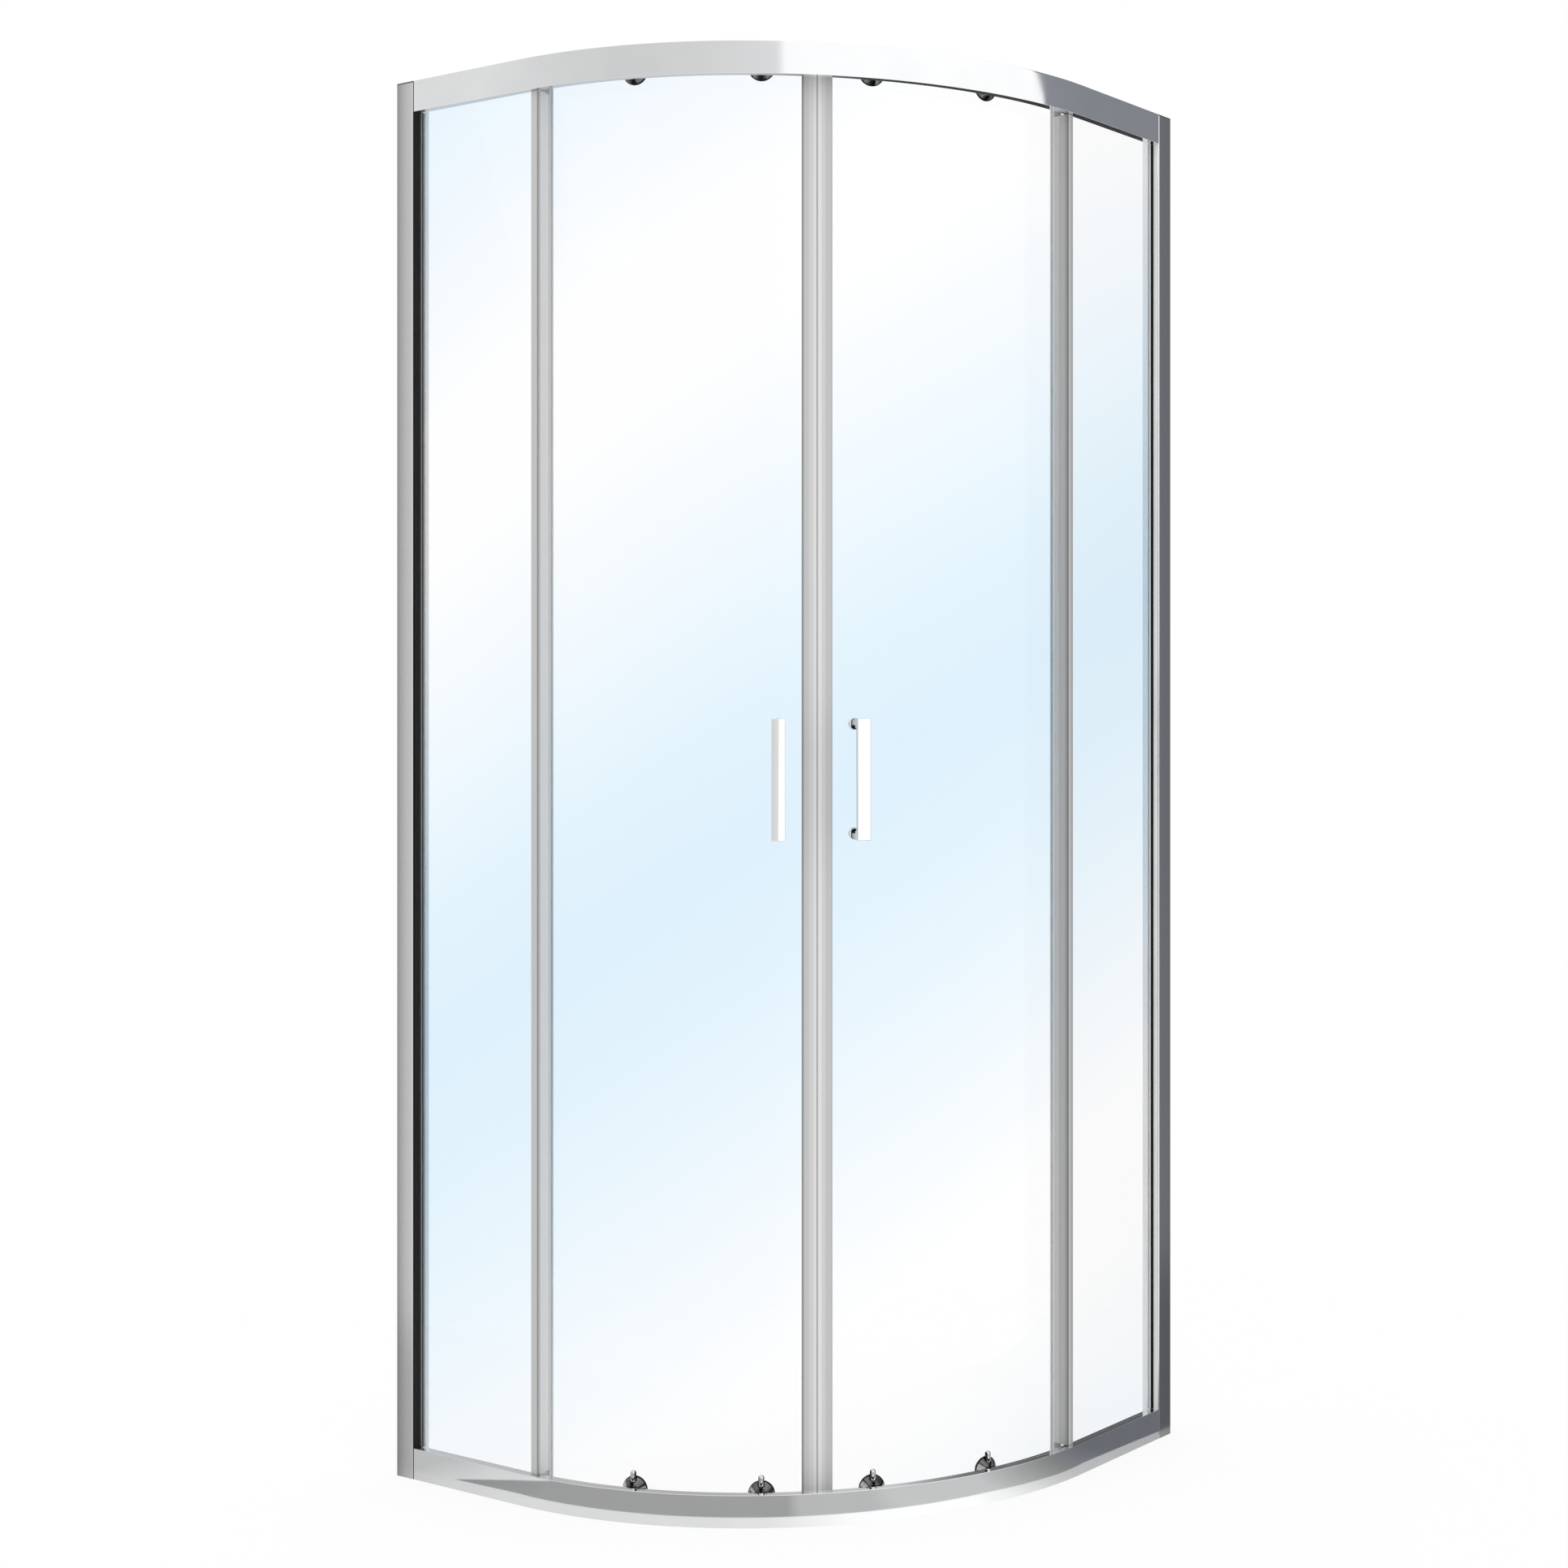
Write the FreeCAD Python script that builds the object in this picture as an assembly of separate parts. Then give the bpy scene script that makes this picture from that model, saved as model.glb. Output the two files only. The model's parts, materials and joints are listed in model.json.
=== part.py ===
import FreeCAD, Part
import math
import os

# Corner shower enclosure with two curved sliding doors, in millimetres, +Z up.
# The origin is the middle of the square plan at floor level. The left wall is the plane
# x = -WIDTH / 2 and the back wall is the plane y = WIDTH / 2. Every left piece is drawn once,
# and its right twin is the mirror image about the upright plane through the corner and the seam.
# On the curve, an angle of 0 is where the left panel ends and 90 is where the right panel ends.

Vector = FreeCAD.Vector

# Overall sizes
WIDTH = 790.0
HEIGHT = 1950.0
CURVE_RADIUS = 550.0

# Curved rails: a hollow front box, a slot for the fixed glass, and a fin with the wheel track
RAIL_HEIGHT = 43.0
RAIL_BOX_DEPTH = 10.0
RAIL_WALL = 1.5
RAIL_EDGE_RADIUS = 1.0
SCREW_BAR_INSET = 6.0
SCREW_BAR_HEIGHT = 6.0
SLOT_WIDTH = 6.5
SLOT_FLOOR = 2.5
FIN_WALL = 1.5
FIN_SETBACK = 2.7
TRACK_LIP_REACH = 4.0
TRACK_LIP_WALL = 2.0
TRACK_RIB_WIDTH = 1.5
TRACK_RIB_HEIGHT = 2.5

# Glass
GLASS_THICKNESS = 5.0
FIXED_GLASS_RECESS = 11.0
FIXED_GLASS_OVERHANG = 23.0
DOOR_GLASS_RECESS = 36.0
DOOR_GLASS_BOTTOM_GAP = 12.0
DOOR_GLASS_TOP_GAP = 8.0
SETTING_STRIP_HEIGHT = 3.5
SETTING_STRIP_INSET = 8.0
SETTING_STRIP_LENGTH = 80.0

# Wall profiles and their caps
PROFILE_FACE = 34.0
PROFILE_DEPTH = 32.0
PROFILE_WALL = 2.0
PROFILE_BACK_WALL = 2.0
PROFILE_EDGE_RADIUS = 1.2
PROFILE_LIP_RADIUS = 1.6
PROFILE_INNER_FLANGE = 30.0
CAP_THICKNESS = 2.0
CAP_PLUG_LENGTH = 5.0
CAP_PLUG_WALL = 1.5
WALL_HOLE_RADIUS = 3.25
WALL_HOLE_END_INSET = 150.0
WALL_HOLE_PITCH = 550.0

# Glass posts inside the wall profiles
POST_BACK = 9.0
POST_WALL = 1.5
POST_CLEARANCE = 0.3
POCKET_DEPTH = 11.0
POCKET_WALL = 1.0
RAIL_END_GAP = 0.5
GASKET_WALL = 1.0
GASKET_BASE = 1.5
GASKET_BEAD = 1.5
GASKET_SLOPE = 1.0
GASKET_LIP_REACH = 6.0
GASKET_LIP_WALL = 0.8
GLASS_END_GAP = 0.2

# Screws of the frame
RAIL_SCREW_SETIN = 6.3
RAIL_SCREW_RADIUS = 1.7
RAIL_SCREW_LENGTH = 16.0
RAIL_SCREW_HEAD_RADIUS = 2.4
RAIL_SCREW_HEAD_HEIGHT = 2.2
DRIVER_HOLE_RADIUS = 4.5
POST_SCREW_RADIUS = 1.9
POST_SCREW_LENGTH = 8.0
POST_SCREW_HEAD_RADIUS = 3.8
POST_SCREW_HEAD_HEIGHT = 2.3
POST_SCREW_END_INSET = 220.0

# Strip on the free edge of the fixed glass
STRIP_COVER = 10.0
STRIP_WALL = 2.5
STRIP_END_WALL = 2.0
STRIP_FIT = 0.2
STRIP_LIP_REACH = 4.8

# Seals of the doors
SEAL_WALL = 1.5
SEAL_FIT = 0.2
SEAM_GAP = 0.6
MAGNET_NOSE_WIDTH = 7.0
MAGNET_SEAL_COVER = 13.0
MAGNET_WIDTH = 3.0
MAGNET_DEPTH = 5.0
MAGNET_SKIN = 1.0
REAR_SEAL_START_ANGLE = 0.4
REAR_SEAL_TAIL = 0.8
REAR_FIN_WALL = 1.5
REAR_FIN_OVERLAP = 1.5
HOOK_GAP = 0.6

# Door travel and where the rollers and the handle sit on the curve
DOOR_TRAVEL_ANGLE = 19.0
REAR_ROLLER_ANGLE = 17.6
FRONT_ROLLER_ANGLE = 36.8
HANDLE_ANGLE = 39.3

# Roller hubs and housings on the outer face of the door glass
HUB_SEAT_GAP = 0.2
HUB_BASE_RADIUS = 18.0
HUB_RIM = 1.4
HUB_NOSE_RADIUS = 10.0
HUB_DEPTH = 11.4
HUB_EDGE_RADIUS = 1.2
TOP_HUB_DROP = 27.0
BOTTOM_HUB_HEIGHT = 34.5
STUD_RADIUS = 4.0
GLASS_HOLE_RADIUS = 6.0
NUT_RADIUS = 12.0
NUT_HEIGHT = 5.0
NUT_EDGE_RADIUS = 1.5
NUT_SLOT_WIDTH = 2.0
NUT_SLOT_DEPTH = 1.0

# Grooved wheels
WHEEL_RADIUS = 9.0
WHEEL_WIDTH = 5.0
GROOVE_SIDE_PLAY = 0.6
TRACK_PLAY = 0.3
AXLE_RADIUS = 2.0
AXLE_PLAY = 0.08
AXLE_HEAD_RADIUS = 3.2
AXLE_HEAD_HEIGHT = 1.0
HEAD_PLAY = 0.3

# Release plunger and spring of a bottom roller
PLUNGER_RADIUS = 4.0
PLUNGER_PLAY = 0.2
PLUNGER_SETOUT = 6.2
PLUNGER_TRAVEL = 6.0
BUTTON_TOP = 61.0
ROD_RADIUS = 1.8
SHOULDER_HEIGHT = 34.5
SHOULDER_WALL = 1.5
SPRING_SOLID_LENGTH = 7.0
SPRING_WALL = 1.0
SPRING_SIDE_PLAY = 0.2
BLOCK_BELOW_AXLE = 3.6

# Bar handle
HANDLE_LENGTH = 160.0
HANDLE_BOTTOM = 901.0
HANDLE_WIDTH = 18.0
HANDLE_THICKNESS = 8.0
HANDLE_CROWN = 1.2
HANDLE_PROJECTION = 55.0
HANDLE_EDGE_RADIUS = 1.0
FOOT_HEIGHT = 14.0
FOOT_WIDTH = 17.0
FOOT_EDGE_RADIUS = 4.0
PAD_THICKNESS = 1.0
PAD_RADIUS = 8.0
HANDLE_SCREW_RADIUS = 2.5
HANDLE_SCREW_DEPTH = 14.0
HANDLE_SCREW_HEAD_RADIUS = 7.0
HANDLE_SCREW_HEAD_HEIGHT = 4.0
HANDLE_HOLE_PLAY = 0.5

# Rubber stops on the track of the top rail
STOP_LENGTH = 14.0
STOP_WIDTH = 4.6
STOP_HEIGHT = 8.0
STOP_GAP = 1.0
STOP_FIT = 0.1

# One overrun for every cut that has to pass right through
OVERRUN = 5.0

# How close a point has to lie to count as on a face, as a share of a size beside it
MATCH_SHARE = 0.01

# Angles of the curve
QUARTER = 90.0
SEAM_ANGLE = QUARTER / 2

# Fixed directions
ORIGIN = Vector(0, 0, 0)
UP = Vector(0, 0, 1)
OUT = Vector(1, 0, 0)
TWIN_NORMAL = Vector(1, 1, 0)

# Places that follow from the sizes above
HALF_WIDTH = WIDTH / 2
STRAIGHT = WIDTH - CURVE_RADIUS
CURVE_CENTRE = Vector(STRAIGHT - HALF_WIDTH, HALF_WIDTH - STRAIGHT, 0)
FIXED_GLASS_END = STRAIGHT + FIXED_GLASS_OVERHANG
BOX_INNER_R = CURVE_RADIUS - RAIL_BOX_DEPTH
RAIL_SCREW_R = CURVE_RADIUS - RAIL_SCREW_SETIN
FIN_OUTER_R = BOX_INNER_R - SLOT_WIDTH
FIN_INNER_R = FIN_OUTER_R - FIN_WALL
LIP_INNER_R = FIN_INNER_R - TRACK_LIP_REACH
RIB_OUTER_R = LIP_INNER_R + TRACK_RIB_WIDTH
RIB_MIDDLE_R = LIP_INNER_R + TRACK_RIB_WIDTH / 2
FIN_TIP = RAIL_HEIGHT - FIN_SETBACK
LIP_FACE = FIN_TIP - TRACK_LIP_WALL
RIB_TIP = LIP_FACE - TRACK_RIB_HEIGHT
FIXED_OUT_R = CURVE_RADIUS - FIXED_GLASS_RECESS
FIXED_IN_R = FIXED_OUT_R - GLASS_THICKNESS
DOOR_OUT_R = CURVE_RADIUS - DOOR_GLASS_RECESS
DOOR_IN_R = DOOR_OUT_R - GLASS_THICKNESS
BETWEEN_RAILS_LOW = RAIL_HEIGHT + RAIL_END_GAP
BETWEEN_RAILS_HIGH = HEIGHT - BETWEEN_RAILS_LOW
DOOR_LOW = DOOR_GLASS_BOTTOM_GAP
DOOR_HIGH = HEIGHT - DOOR_GLASS_TOP_GAP
PROFILE_INNER_R = CURVE_RADIUS - PROFILE_DEPTH
PROFILE_TOP = HEIGHT - CAP_THICKNESS
POST_OUTER_R = CURVE_RADIUS - PROFILE_WALL - POST_CLEARANCE
POST_INNER_R = PROFILE_INNER_R + PROFILE_WALL + POST_CLEARANCE
HUB_BASE_R = DOOR_OUT_R + HUB_SEAT_GAP
HUB_FRONT_R = HUB_BASE_R + HUB_DEPTH
NUT_OUTER_R = DOOR_IN_R - HUB_SEAT_GAP
NUT_INNER_R = NUT_OUTER_R - NUT_HEIGHT
TOP_HUB_Z = HEIGHT - TOP_HUB_DROP
GROOVE_WIDTH = TRACK_RIB_WIDTH + 2 * GROOVE_SIDE_PLAY
WHEEL_INNER_R = RIB_MIDDLE_R - WHEEL_WIDTH / 2
WHEEL_OUTER_R = RIB_MIDDLE_R + WHEEL_WIDTH / 2
WHEEL_DROP = LIP_FACE - TRACK_PLAY - WHEEL_RADIUS
GROOVE_RADIUS = RIB_TIP - TRACK_PLAY - WHEEL_DROP
BOTTOM_AXLE_Z = WHEEL_DROP
TOP_AXLE_Z = HEIGHT - WHEEL_DROP
PLUNGER_R = HUB_BASE_R + PLUNGER_SETOUT
SPRING_SPACE = PLUNGER_TRAVEL + SPRING_SOLID_LENGTH
HANDLE_FRONT_R = DOOR_OUT_R + HANDLE_PROJECTION
HANDLE_BACK_R = HANDLE_FRONT_R - HANDLE_THICKNESS
FOOT_BASE_R = DOOR_OUT_R + PAD_THICKNESS
HANDLE_TOP = HANDLE_BOTTOM + HANDLE_LENGTH
FOOT_LEVELS = [HANDLE_BOTTOM + FOOT_HEIGHT / 2, HANDLE_TOP - FOOT_HEIGHT / 2]
ROLLER_ANGLES = {"rear": REAR_ROLLER_ANGLE, "front": FRONT_ROLLER_ANGLE}

nodes = {}


# Helpers

def arc_angle(length, radius):
    """Angle in degrees that a length takes up on an arc."""
    return math.degrees(length / radius)


def polar(radius, angle, height):
    """Point on the curve's own polar grid."""
    turn = math.radians(angle)
    return CURVE_CENTRE + Vector(radius * math.sin(turn), -radius * math.cos(turn), height)


def outline_face(points):
    """Flat face inside straight lines through the points."""
    return Part.Face(Part.makePolygon(points + [points[0]]))


def sector(inner, outer, start, end, low, high):
    """Block between two radii, two angles and two heights."""
    middle = (start + end) / 2
    outer_arc = Part.Arc(polar(outer, start, low), polar(outer, middle, low), polar(outer, end, low))
    inner_arc = Part.Arc(polar(inner, end, low), polar(inner, middle, low), polar(inner, start, low))
    end_line = Part.LineSegment(polar(outer, end, low), polar(inner, end, low))
    start_line = Part.LineSegment(polar(inner, start, low), polar(outer, start, low))
    edges = [curve.toShape() for curve in (outer_arc, end_line, inner_arc, start_line)]
    return Part.Face(Part.Wire(edges)).extrude(Vector(0, 0, high - low))


def panel_point(along, radius, height):
    """Point of the left panel: distance from the wall, radius as on the curve, height."""
    return Vector(along - HALF_WIDTH, CURVE_CENTRE.y - radius, height)


def panel_block(start, end, inner, outer, low, high):
    """Block on the left panel between two distances from the wall, two radii and two heights."""
    corner = panel_point(start, outer, low)
    return Part.makeBox(end - start, outer - inner, high - low, corner)


def panel_prism(plan, low, high):
    """Upright extrusion on the left panel of a plan given as distance and radius pairs."""
    points = [panel_point(along, radius, low) for along, radius in plan]
    return outline_face(points).extrude(Vector(0, 0, high - low))


def on_curve(shape, angle):
    """Take a shape drawn about the Z axis with +X outwards to its angle on the curve."""
    placed = shape.copy()
    placed.rotate(ORIGIN, UP, angle - QUARTER)
    placed.translate(CURVE_CENTRE)
    return placed


def radial_rod(radius, start, end, height):
    """Round rod along +X between two radii."""
    return Part.makeCylinder(radius, end - start, Vector(start, 0, height), OUT)


def turned(profile, height):
    """Solid of revolution about the +X line at a height, from radius and half-width pairs."""
    points = [Vector(place, 0, height + half) for place, half in profile]
    return outline_face(points).revolve(Vector(0, 0, height), OUT, 360.0)


def fuse(shapes):
    """One solid from touching shapes, with the seams between flush faces removed."""
    return shapes[0].multiFuse(shapes[1:]).removeSplitter()


def twin(shape):
    """Right piece that mirrors a left one."""
    return shape.mirror(ORIGIN, TWIN_NORMAL)


def add_group(name, shapes):
    """Store the separate solids of a left group and their right twins in one node."""
    nodes[name] = Part.makeCompound(shapes + [twin(shape) for shape in shapes])


def upside_down(shape):
    """Piece of the top rail that mirrors one of the bottom rail."""
    return shape.mirror(Vector(0, 0, HEIGHT / 2), UP)


def add_pair(name, shape):
    """Store a left piece and its right twin."""
    nodes[name + "_left"] = shape
    nodes[name + "_right"] = twin(shape)


# Rails

def rail_section():
    """Cross-section of the bottom rail on the line where the left panel meets the curve."""
    def spot(radius, height):
        return panel_point(STRAIGHT, radius, height)

    outline = [
        (CURVE_RADIUS, 0),
        (CURVE_RADIUS, RAIL_HEIGHT),
        (BOX_INNER_R, RAIL_HEIGHT),
        (BOX_INNER_R, SLOT_FLOOR),
        (FIN_OUTER_R, SLOT_FLOOR),
        (FIN_OUTER_R, FIN_TIP),
        (LIP_INNER_R, FIN_TIP),
        (LIP_INNER_R, RIB_TIP),
        (RIB_OUTER_R, RIB_TIP),
        (RIB_OUTER_R, LIP_FACE),
        (FIN_INNER_R, LIP_FACE),
        (FIN_INNER_R, 0),
    ]
    section = outline_face([spot(radius, height) for radius, height in outline])
    low_bar = (SCREW_BAR_INSET, SCREW_BAR_INSET + SCREW_BAR_HEIGHT)
    high_bar = (RAIL_HEIGHT - low_bar[1], RAIL_HEIGHT - low_bar[0])
    chambers = [
        (RAIL_WALL, low_bar[0]),
        (low_bar[1], high_bar[0]),
        (high_bar[1], RAIL_HEIGHT - RAIL_WALL),
    ]
    outer = CURVE_RADIUS - RAIL_WALL
    inner = BOX_INNER_R + RAIL_WALL
    for low, high in chambers:
        corners = [spot(outer, low), spot(outer, high), spot(inner, high), spot(inner, low)]
        section = section.cut(outline_face(corners))
    return section


def rail_screw_levels():
    """Heights of the two screws at each end of the bottom rail."""
    middle = SCREW_BAR_INSET + SCREW_BAR_HEIGHT / 2
    return [middle, RAIL_HEIGHT - middle]


def make_bottom_rail():
    """Bent rail: straight, quarter turn and straight, with screw holes drilled in both ends."""
    section = rail_section().Faces[0]
    straight = section.extrude(Vector(PROFILE_FACE - STRAIGHT, 0, 0))
    bend = section.revolve(CURVE_CENTRE, UP, QUARTER)
    rail = fuse([straight, bend, twin(straight)])
    face_edges = [
        edge for edge in rail.Edges
        if all(on_outer_face(point) for point in edge_points(edge))
        and is_level(edge)
    ]
    rail = rail.makeFillet(RAIL_EDGE_RADIUS, face_edges)
    for level in rail_screw_levels():
        mouth = panel_point(PROFILE_FACE, RAIL_SCREW_R, level)
        hole = Part.makeCylinder(RAIL_SCREW_RADIUS, RAIL_SCREW_LENGTH, mouth, OUT)
        rail = rail.cut(hole).cut(twin(hole))
    return rail


def edge_points(edge):
    """Both ends and the middle of an edge."""
    first, last = edge.ParameterRange
    return [edge.valueAt(first), edge.valueAt((first + last) / 2), edge.valueAt(last)]


def on_outer_face(point):
    """Whether a point lies on the outer face of the rails."""
    offset = point - CURVE_CENTRE
    if offset.x < 0:
        reach = -offset.y
    elif offset.y > 0:
        reach = offset.x
    else:
        reach = math.hypot(offset.x, offset.y)
    return abs(reach - CURVE_RADIUS) < RAIL_EDGE_RADIUS * MATCH_SHARE


def is_level(edge):
    """Whether an edge runs along the rail at its top or bottom."""
    heights = [point.z for point in edge_points(edge)]
    return max(heights) - min(heights) < RAIL_EDGE_RADIUS * MATCH_SHARE


# Wall profiles, posts and fixed glass

def wall_hole_levels():
    """Heights of the wall screws: one pair near the ends and one pair about the middle."""
    half_pitch = WALL_HOLE_PITCH / 2
    middle = HEIGHT / 2
    return [WALL_HOLE_END_INSET, middle - half_pitch, middle + half_pitch, HEIGHT - WALL_HOLE_END_INSET]


def post_screw_levels():
    """Heights of the screws that hold a post in its wall profile."""
    return [POST_SCREW_END_INSET, HEIGHT / 2, HEIGHT - POST_SCREW_END_INSET]


def post_middle():
    """Distance from the wall to the middle of the post."""
    return (POST_BACK + PROFILE_FACE) / 2


def make_wall_profile():
    """Channel on the wall, open towards the glass, with holes for the wall screws."""
    plan = [
        (0, CURVE_RADIUS),
        (PROFILE_FACE, CURVE_RADIUS),
        (PROFILE_FACE, CURVE_RADIUS - PROFILE_WALL),
        (PROFILE_BACK_WALL, CURVE_RADIUS - PROFILE_WALL),
        (PROFILE_BACK_WALL, PROFILE_INNER_R + PROFILE_WALL),
        (PROFILE_INNER_FLANGE, PROFILE_INNER_R + PROFILE_WALL),
        (PROFILE_INNER_FLANGE, PROFILE_INNER_R),
        (0, PROFILE_INNER_R),
    ]
    profile = panel_prism(plan, 0, PROFILE_TOP)
    wall_side = -HALF_WIDTH
    corners = [
        edge for edge in profile.Edges
        if all(abs(point.x - wall_side) < PROFILE_WALL * MATCH_SHARE for point in edge_points(edge))
        and not is_level(edge)
    ]
    profile = profile.makeFillet(PROFILE_EDGE_RADIUS, corners)
    front = panel_point(PROFILE_FACE, CURVE_RADIUS, 0)
    lip = [
        edge for edge in profile.Edges
        if all(math.hypot(point.x - front.x, point.y - front.y) < PROFILE_WALL * MATCH_SHARE
               for point in edge_points(edge))
    ]
    profile = profile.makeFillet(PROFILE_LIP_RADIUS, lip)
    middle_r = CURVE_RADIUS - PROFILE_DEPTH / 2
    hole_length = PROFILE_BACK_WALL + 2 * OVERRUN
    for level in wall_hole_levels():
        start = panel_point(-OVERRUN, middle_r, level)
        profile = profile.cut(Part.makeCylinder(WALL_HOLE_RADIUS, hole_length, start, OUT))
    for level in post_screw_levels():
        profile = profile.cut(post_screw_shank(level))
    return profile


def make_wall_cap():
    """Cap on top of a wall profile, with a plug ring in the post, on the wall side of its screws."""
    plate = panel_block(0, PROFILE_FACE, PROFILE_INNER_R, CURVE_RADIUS, PROFILE_TOP, HEIGHT)
    upright = [edge for edge in plate.Edges if not is_level(edge)]
    plate = plate.makeFillet(PROFILE_EDGE_RADIUS, upright)
    inset = POST_WALL + POST_CLEARANCE
    plug_start = POST_BACK + inset
    plug_end = post_middle()
    plug_inner = POST_INNER_R + inset
    plug_outer = POST_OUTER_R - inset
    plug_low = PROFILE_TOP - CAP_PLUG_LENGTH
    plug = panel_block(plug_start, plug_end, plug_inner, plug_outer, plug_low, PROFILE_TOP)
    hollow = panel_block(
        plug_start + CAP_PLUG_WALL, plug_end - CAP_PLUG_WALL,
        plug_inner + CAP_PLUG_WALL, plug_outer - CAP_PLUG_WALL, plug_low, PROFILE_TOP)
    return fuse([plate, plug.cut(hollow)])


def post_screw_shank(level):
    """Shank of a post screw, from the inner flange into the post."""
    start = panel_point(post_middle(), PROFILE_INNER_R, level)
    return Part.makeCylinder(POST_SCREW_RADIUS, POST_SCREW_LENGTH, start, Vector(0, -1, 0))


def pocket_walls():
    """Radii of the four faces of the glass pocket's walls, from outside to inside."""
    outer_leg = FIXED_OUT_R + GASKET_WALL
    inner_leg = FIXED_IN_R - GASKET_WALL
    return [outer_leg + POCKET_WALL, outer_leg, inner_leg, inner_leg - POCKET_WALL]


def pocket_floor():
    """Distance from the wall to the floor of the glass pocket."""
    return PROFILE_FACE - POCKET_DEPTH


def make_glass_post():
    """Hollow post that slides in the wall profile, with a pocket in its face for the fixed glass."""
    tube = panel_block(POST_BACK, PROFILE_FACE, POST_INNER_R, POST_OUTER_R, 0, PROFILE_TOP)
    hollow = panel_block(
        POST_BACK + POST_WALL, PROFILE_FACE - POST_WALL,
        POST_INNER_R + POST_WALL, POST_OUTER_R - POST_WALL, -OVERRUN, HEIGHT)
    walls = pocket_walls()
    floor = pocket_floor()
    channel = panel_block(floor - POCKET_WALL, PROFILE_FACE, walls[3], walls[0], 0, PROFILE_TOP)
    pocket = panel_block(floor, PROFILE_FACE + OVERRUN, walls[2], walls[1], -OVERRUN, HEIGHT)
    post = fuse([tube.cut(hollow), channel]).cut(pocket)
    for screw in rail_screw_places():
        post = post.cut(Part.makeCylinder(RAIL_SCREW_RADIUS, POST_WALL + OVERRUN, screw, Vector(-1, 0, 0)))
        driver = Vector(screw.x - PROFILE_FACE + POST_BACK - OVERRUN, screw.y, screw.z)
        post = post.cut(Part.makeCylinder(DRIVER_HOLE_RADIUS, POST_WALL + 2 * OVERRUN, driver, OUT))
    for level in post_screw_levels():
        post = post.cut(post_screw_shank(level))
    return post


def rail_screw_places():
    """Where the four rail screws of the left side pass the face of the post."""
    levels = rail_screw_levels()
    levels = levels + [HEIGHT - level for level in levels]
    return [panel_point(PROFILE_FACE, RAIL_SCREW_R, level) for level in levels]


def make_rail_screws():
    """Four screws that join both rails to the left post."""
    screws = []
    head_seat = Vector(-POST_WALL, 0, 0)
    for place in rail_screw_places():
        head_start = place + head_seat - Vector(RAIL_SCREW_HEAD_HEIGHT, 0, 0)
        head = Part.makeCylinder(RAIL_SCREW_HEAD_RADIUS, RAIL_SCREW_HEAD_HEIGHT, head_start, OUT)
        shank_length = POST_WALL + RAIL_SCREW_LENGTH
        shank = Part.makeCylinder(RAIL_SCREW_RADIUS, shank_length, place + head_seat, OUT)
        screws.append(fuse([head, shank]))
    return screws


def make_post_screws():
    """Three screws that hold the left post in its wall profile."""
    screws = []
    for level in post_screw_levels():
        seat = panel_point(post_middle(), PROFILE_INNER_R, level)
        head = Part.makeCylinder(POST_SCREW_HEAD_RADIUS, POST_SCREW_HEAD_HEIGHT, seat, Vector(0, 1, 0))
        crown = head.BoundBox.YMax - POST_WALL * MATCH_SHARE
        rim = [edge for edge in head.Edges if edge.BoundBox.YMin > crown]
        head = head.makeFillet(POST_SCREW_HEAD_HEIGHT / 2, rim)
        screws.append(fuse([head, post_screw_shank(level)]))
    return screws


def make_gasket():
    """Glazing gasket round the edge of the fixed glass, with a bead and a thin lip outside the pocket."""
    walls = pocket_walls()
    floor = pocket_floor()
    base = floor + GASKET_BASE
    bead = PROFILE_FACE + GASKET_BEAD
    foot = bead + GASKET_SLOPE
    lip = foot + GASKET_LIP_REACH
    outer_half = [
        (floor, walls[1]),
        (PROFILE_FACE, walls[1]),
        (PROFILE_FACE, walls[0]),
        (bead, walls[0]),
        (foot, FIXED_OUT_R + GASKET_LIP_WALL),
        (lip, FIXED_OUT_R + GASKET_LIP_WALL / 2),
        (lip, FIXED_OUT_R),
        (base, FIXED_OUT_R),
    ]
    middle_r = (FIXED_OUT_R + FIXED_IN_R) / 2
    inner_half = [(along, 2 * middle_r - radius) for along, radius in reversed(outer_half)]
    plan = outer_half + inner_half
    return panel_prism(plan, BETWEEN_RAILS_LOW, BETWEEN_RAILS_HIGH)


def fixed_glass_start():
    """Distance from the wall to the edge of the fixed glass in its gasket."""
    return pocket_floor() + GASKET_BASE + GLASS_END_GAP


def fixed_glass_low():
    """Height of the lower edge of the fixed glass on its setting strip."""
    return SLOT_FLOOR + SETTING_STRIP_HEIGHT


def make_fixed_glass():
    """Flat fixed pane between the two rails."""
    low = fixed_glass_low()
    return panel_block(fixed_glass_start(), FIXED_GLASS_END, FIXED_IN_R, FIXED_OUT_R, low, HEIGHT - low)


def make_setting_strip():
    """Strip in the slot of the bottom rail that the fixed glass stands on."""
    start = PROFILE_FACE + SETTING_STRIP_INSET
    end = start + SETTING_STRIP_LENGTH
    return panel_block(start, end, FIN_OUTER_R, BOX_INNER_R, SLOT_FLOOR, fixed_glass_low())


def strip_lip_start():
    """Distance from the wall to the near face of the strip's lip."""
    return FIXED_GLASS_END + STRIP_FIT


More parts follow.
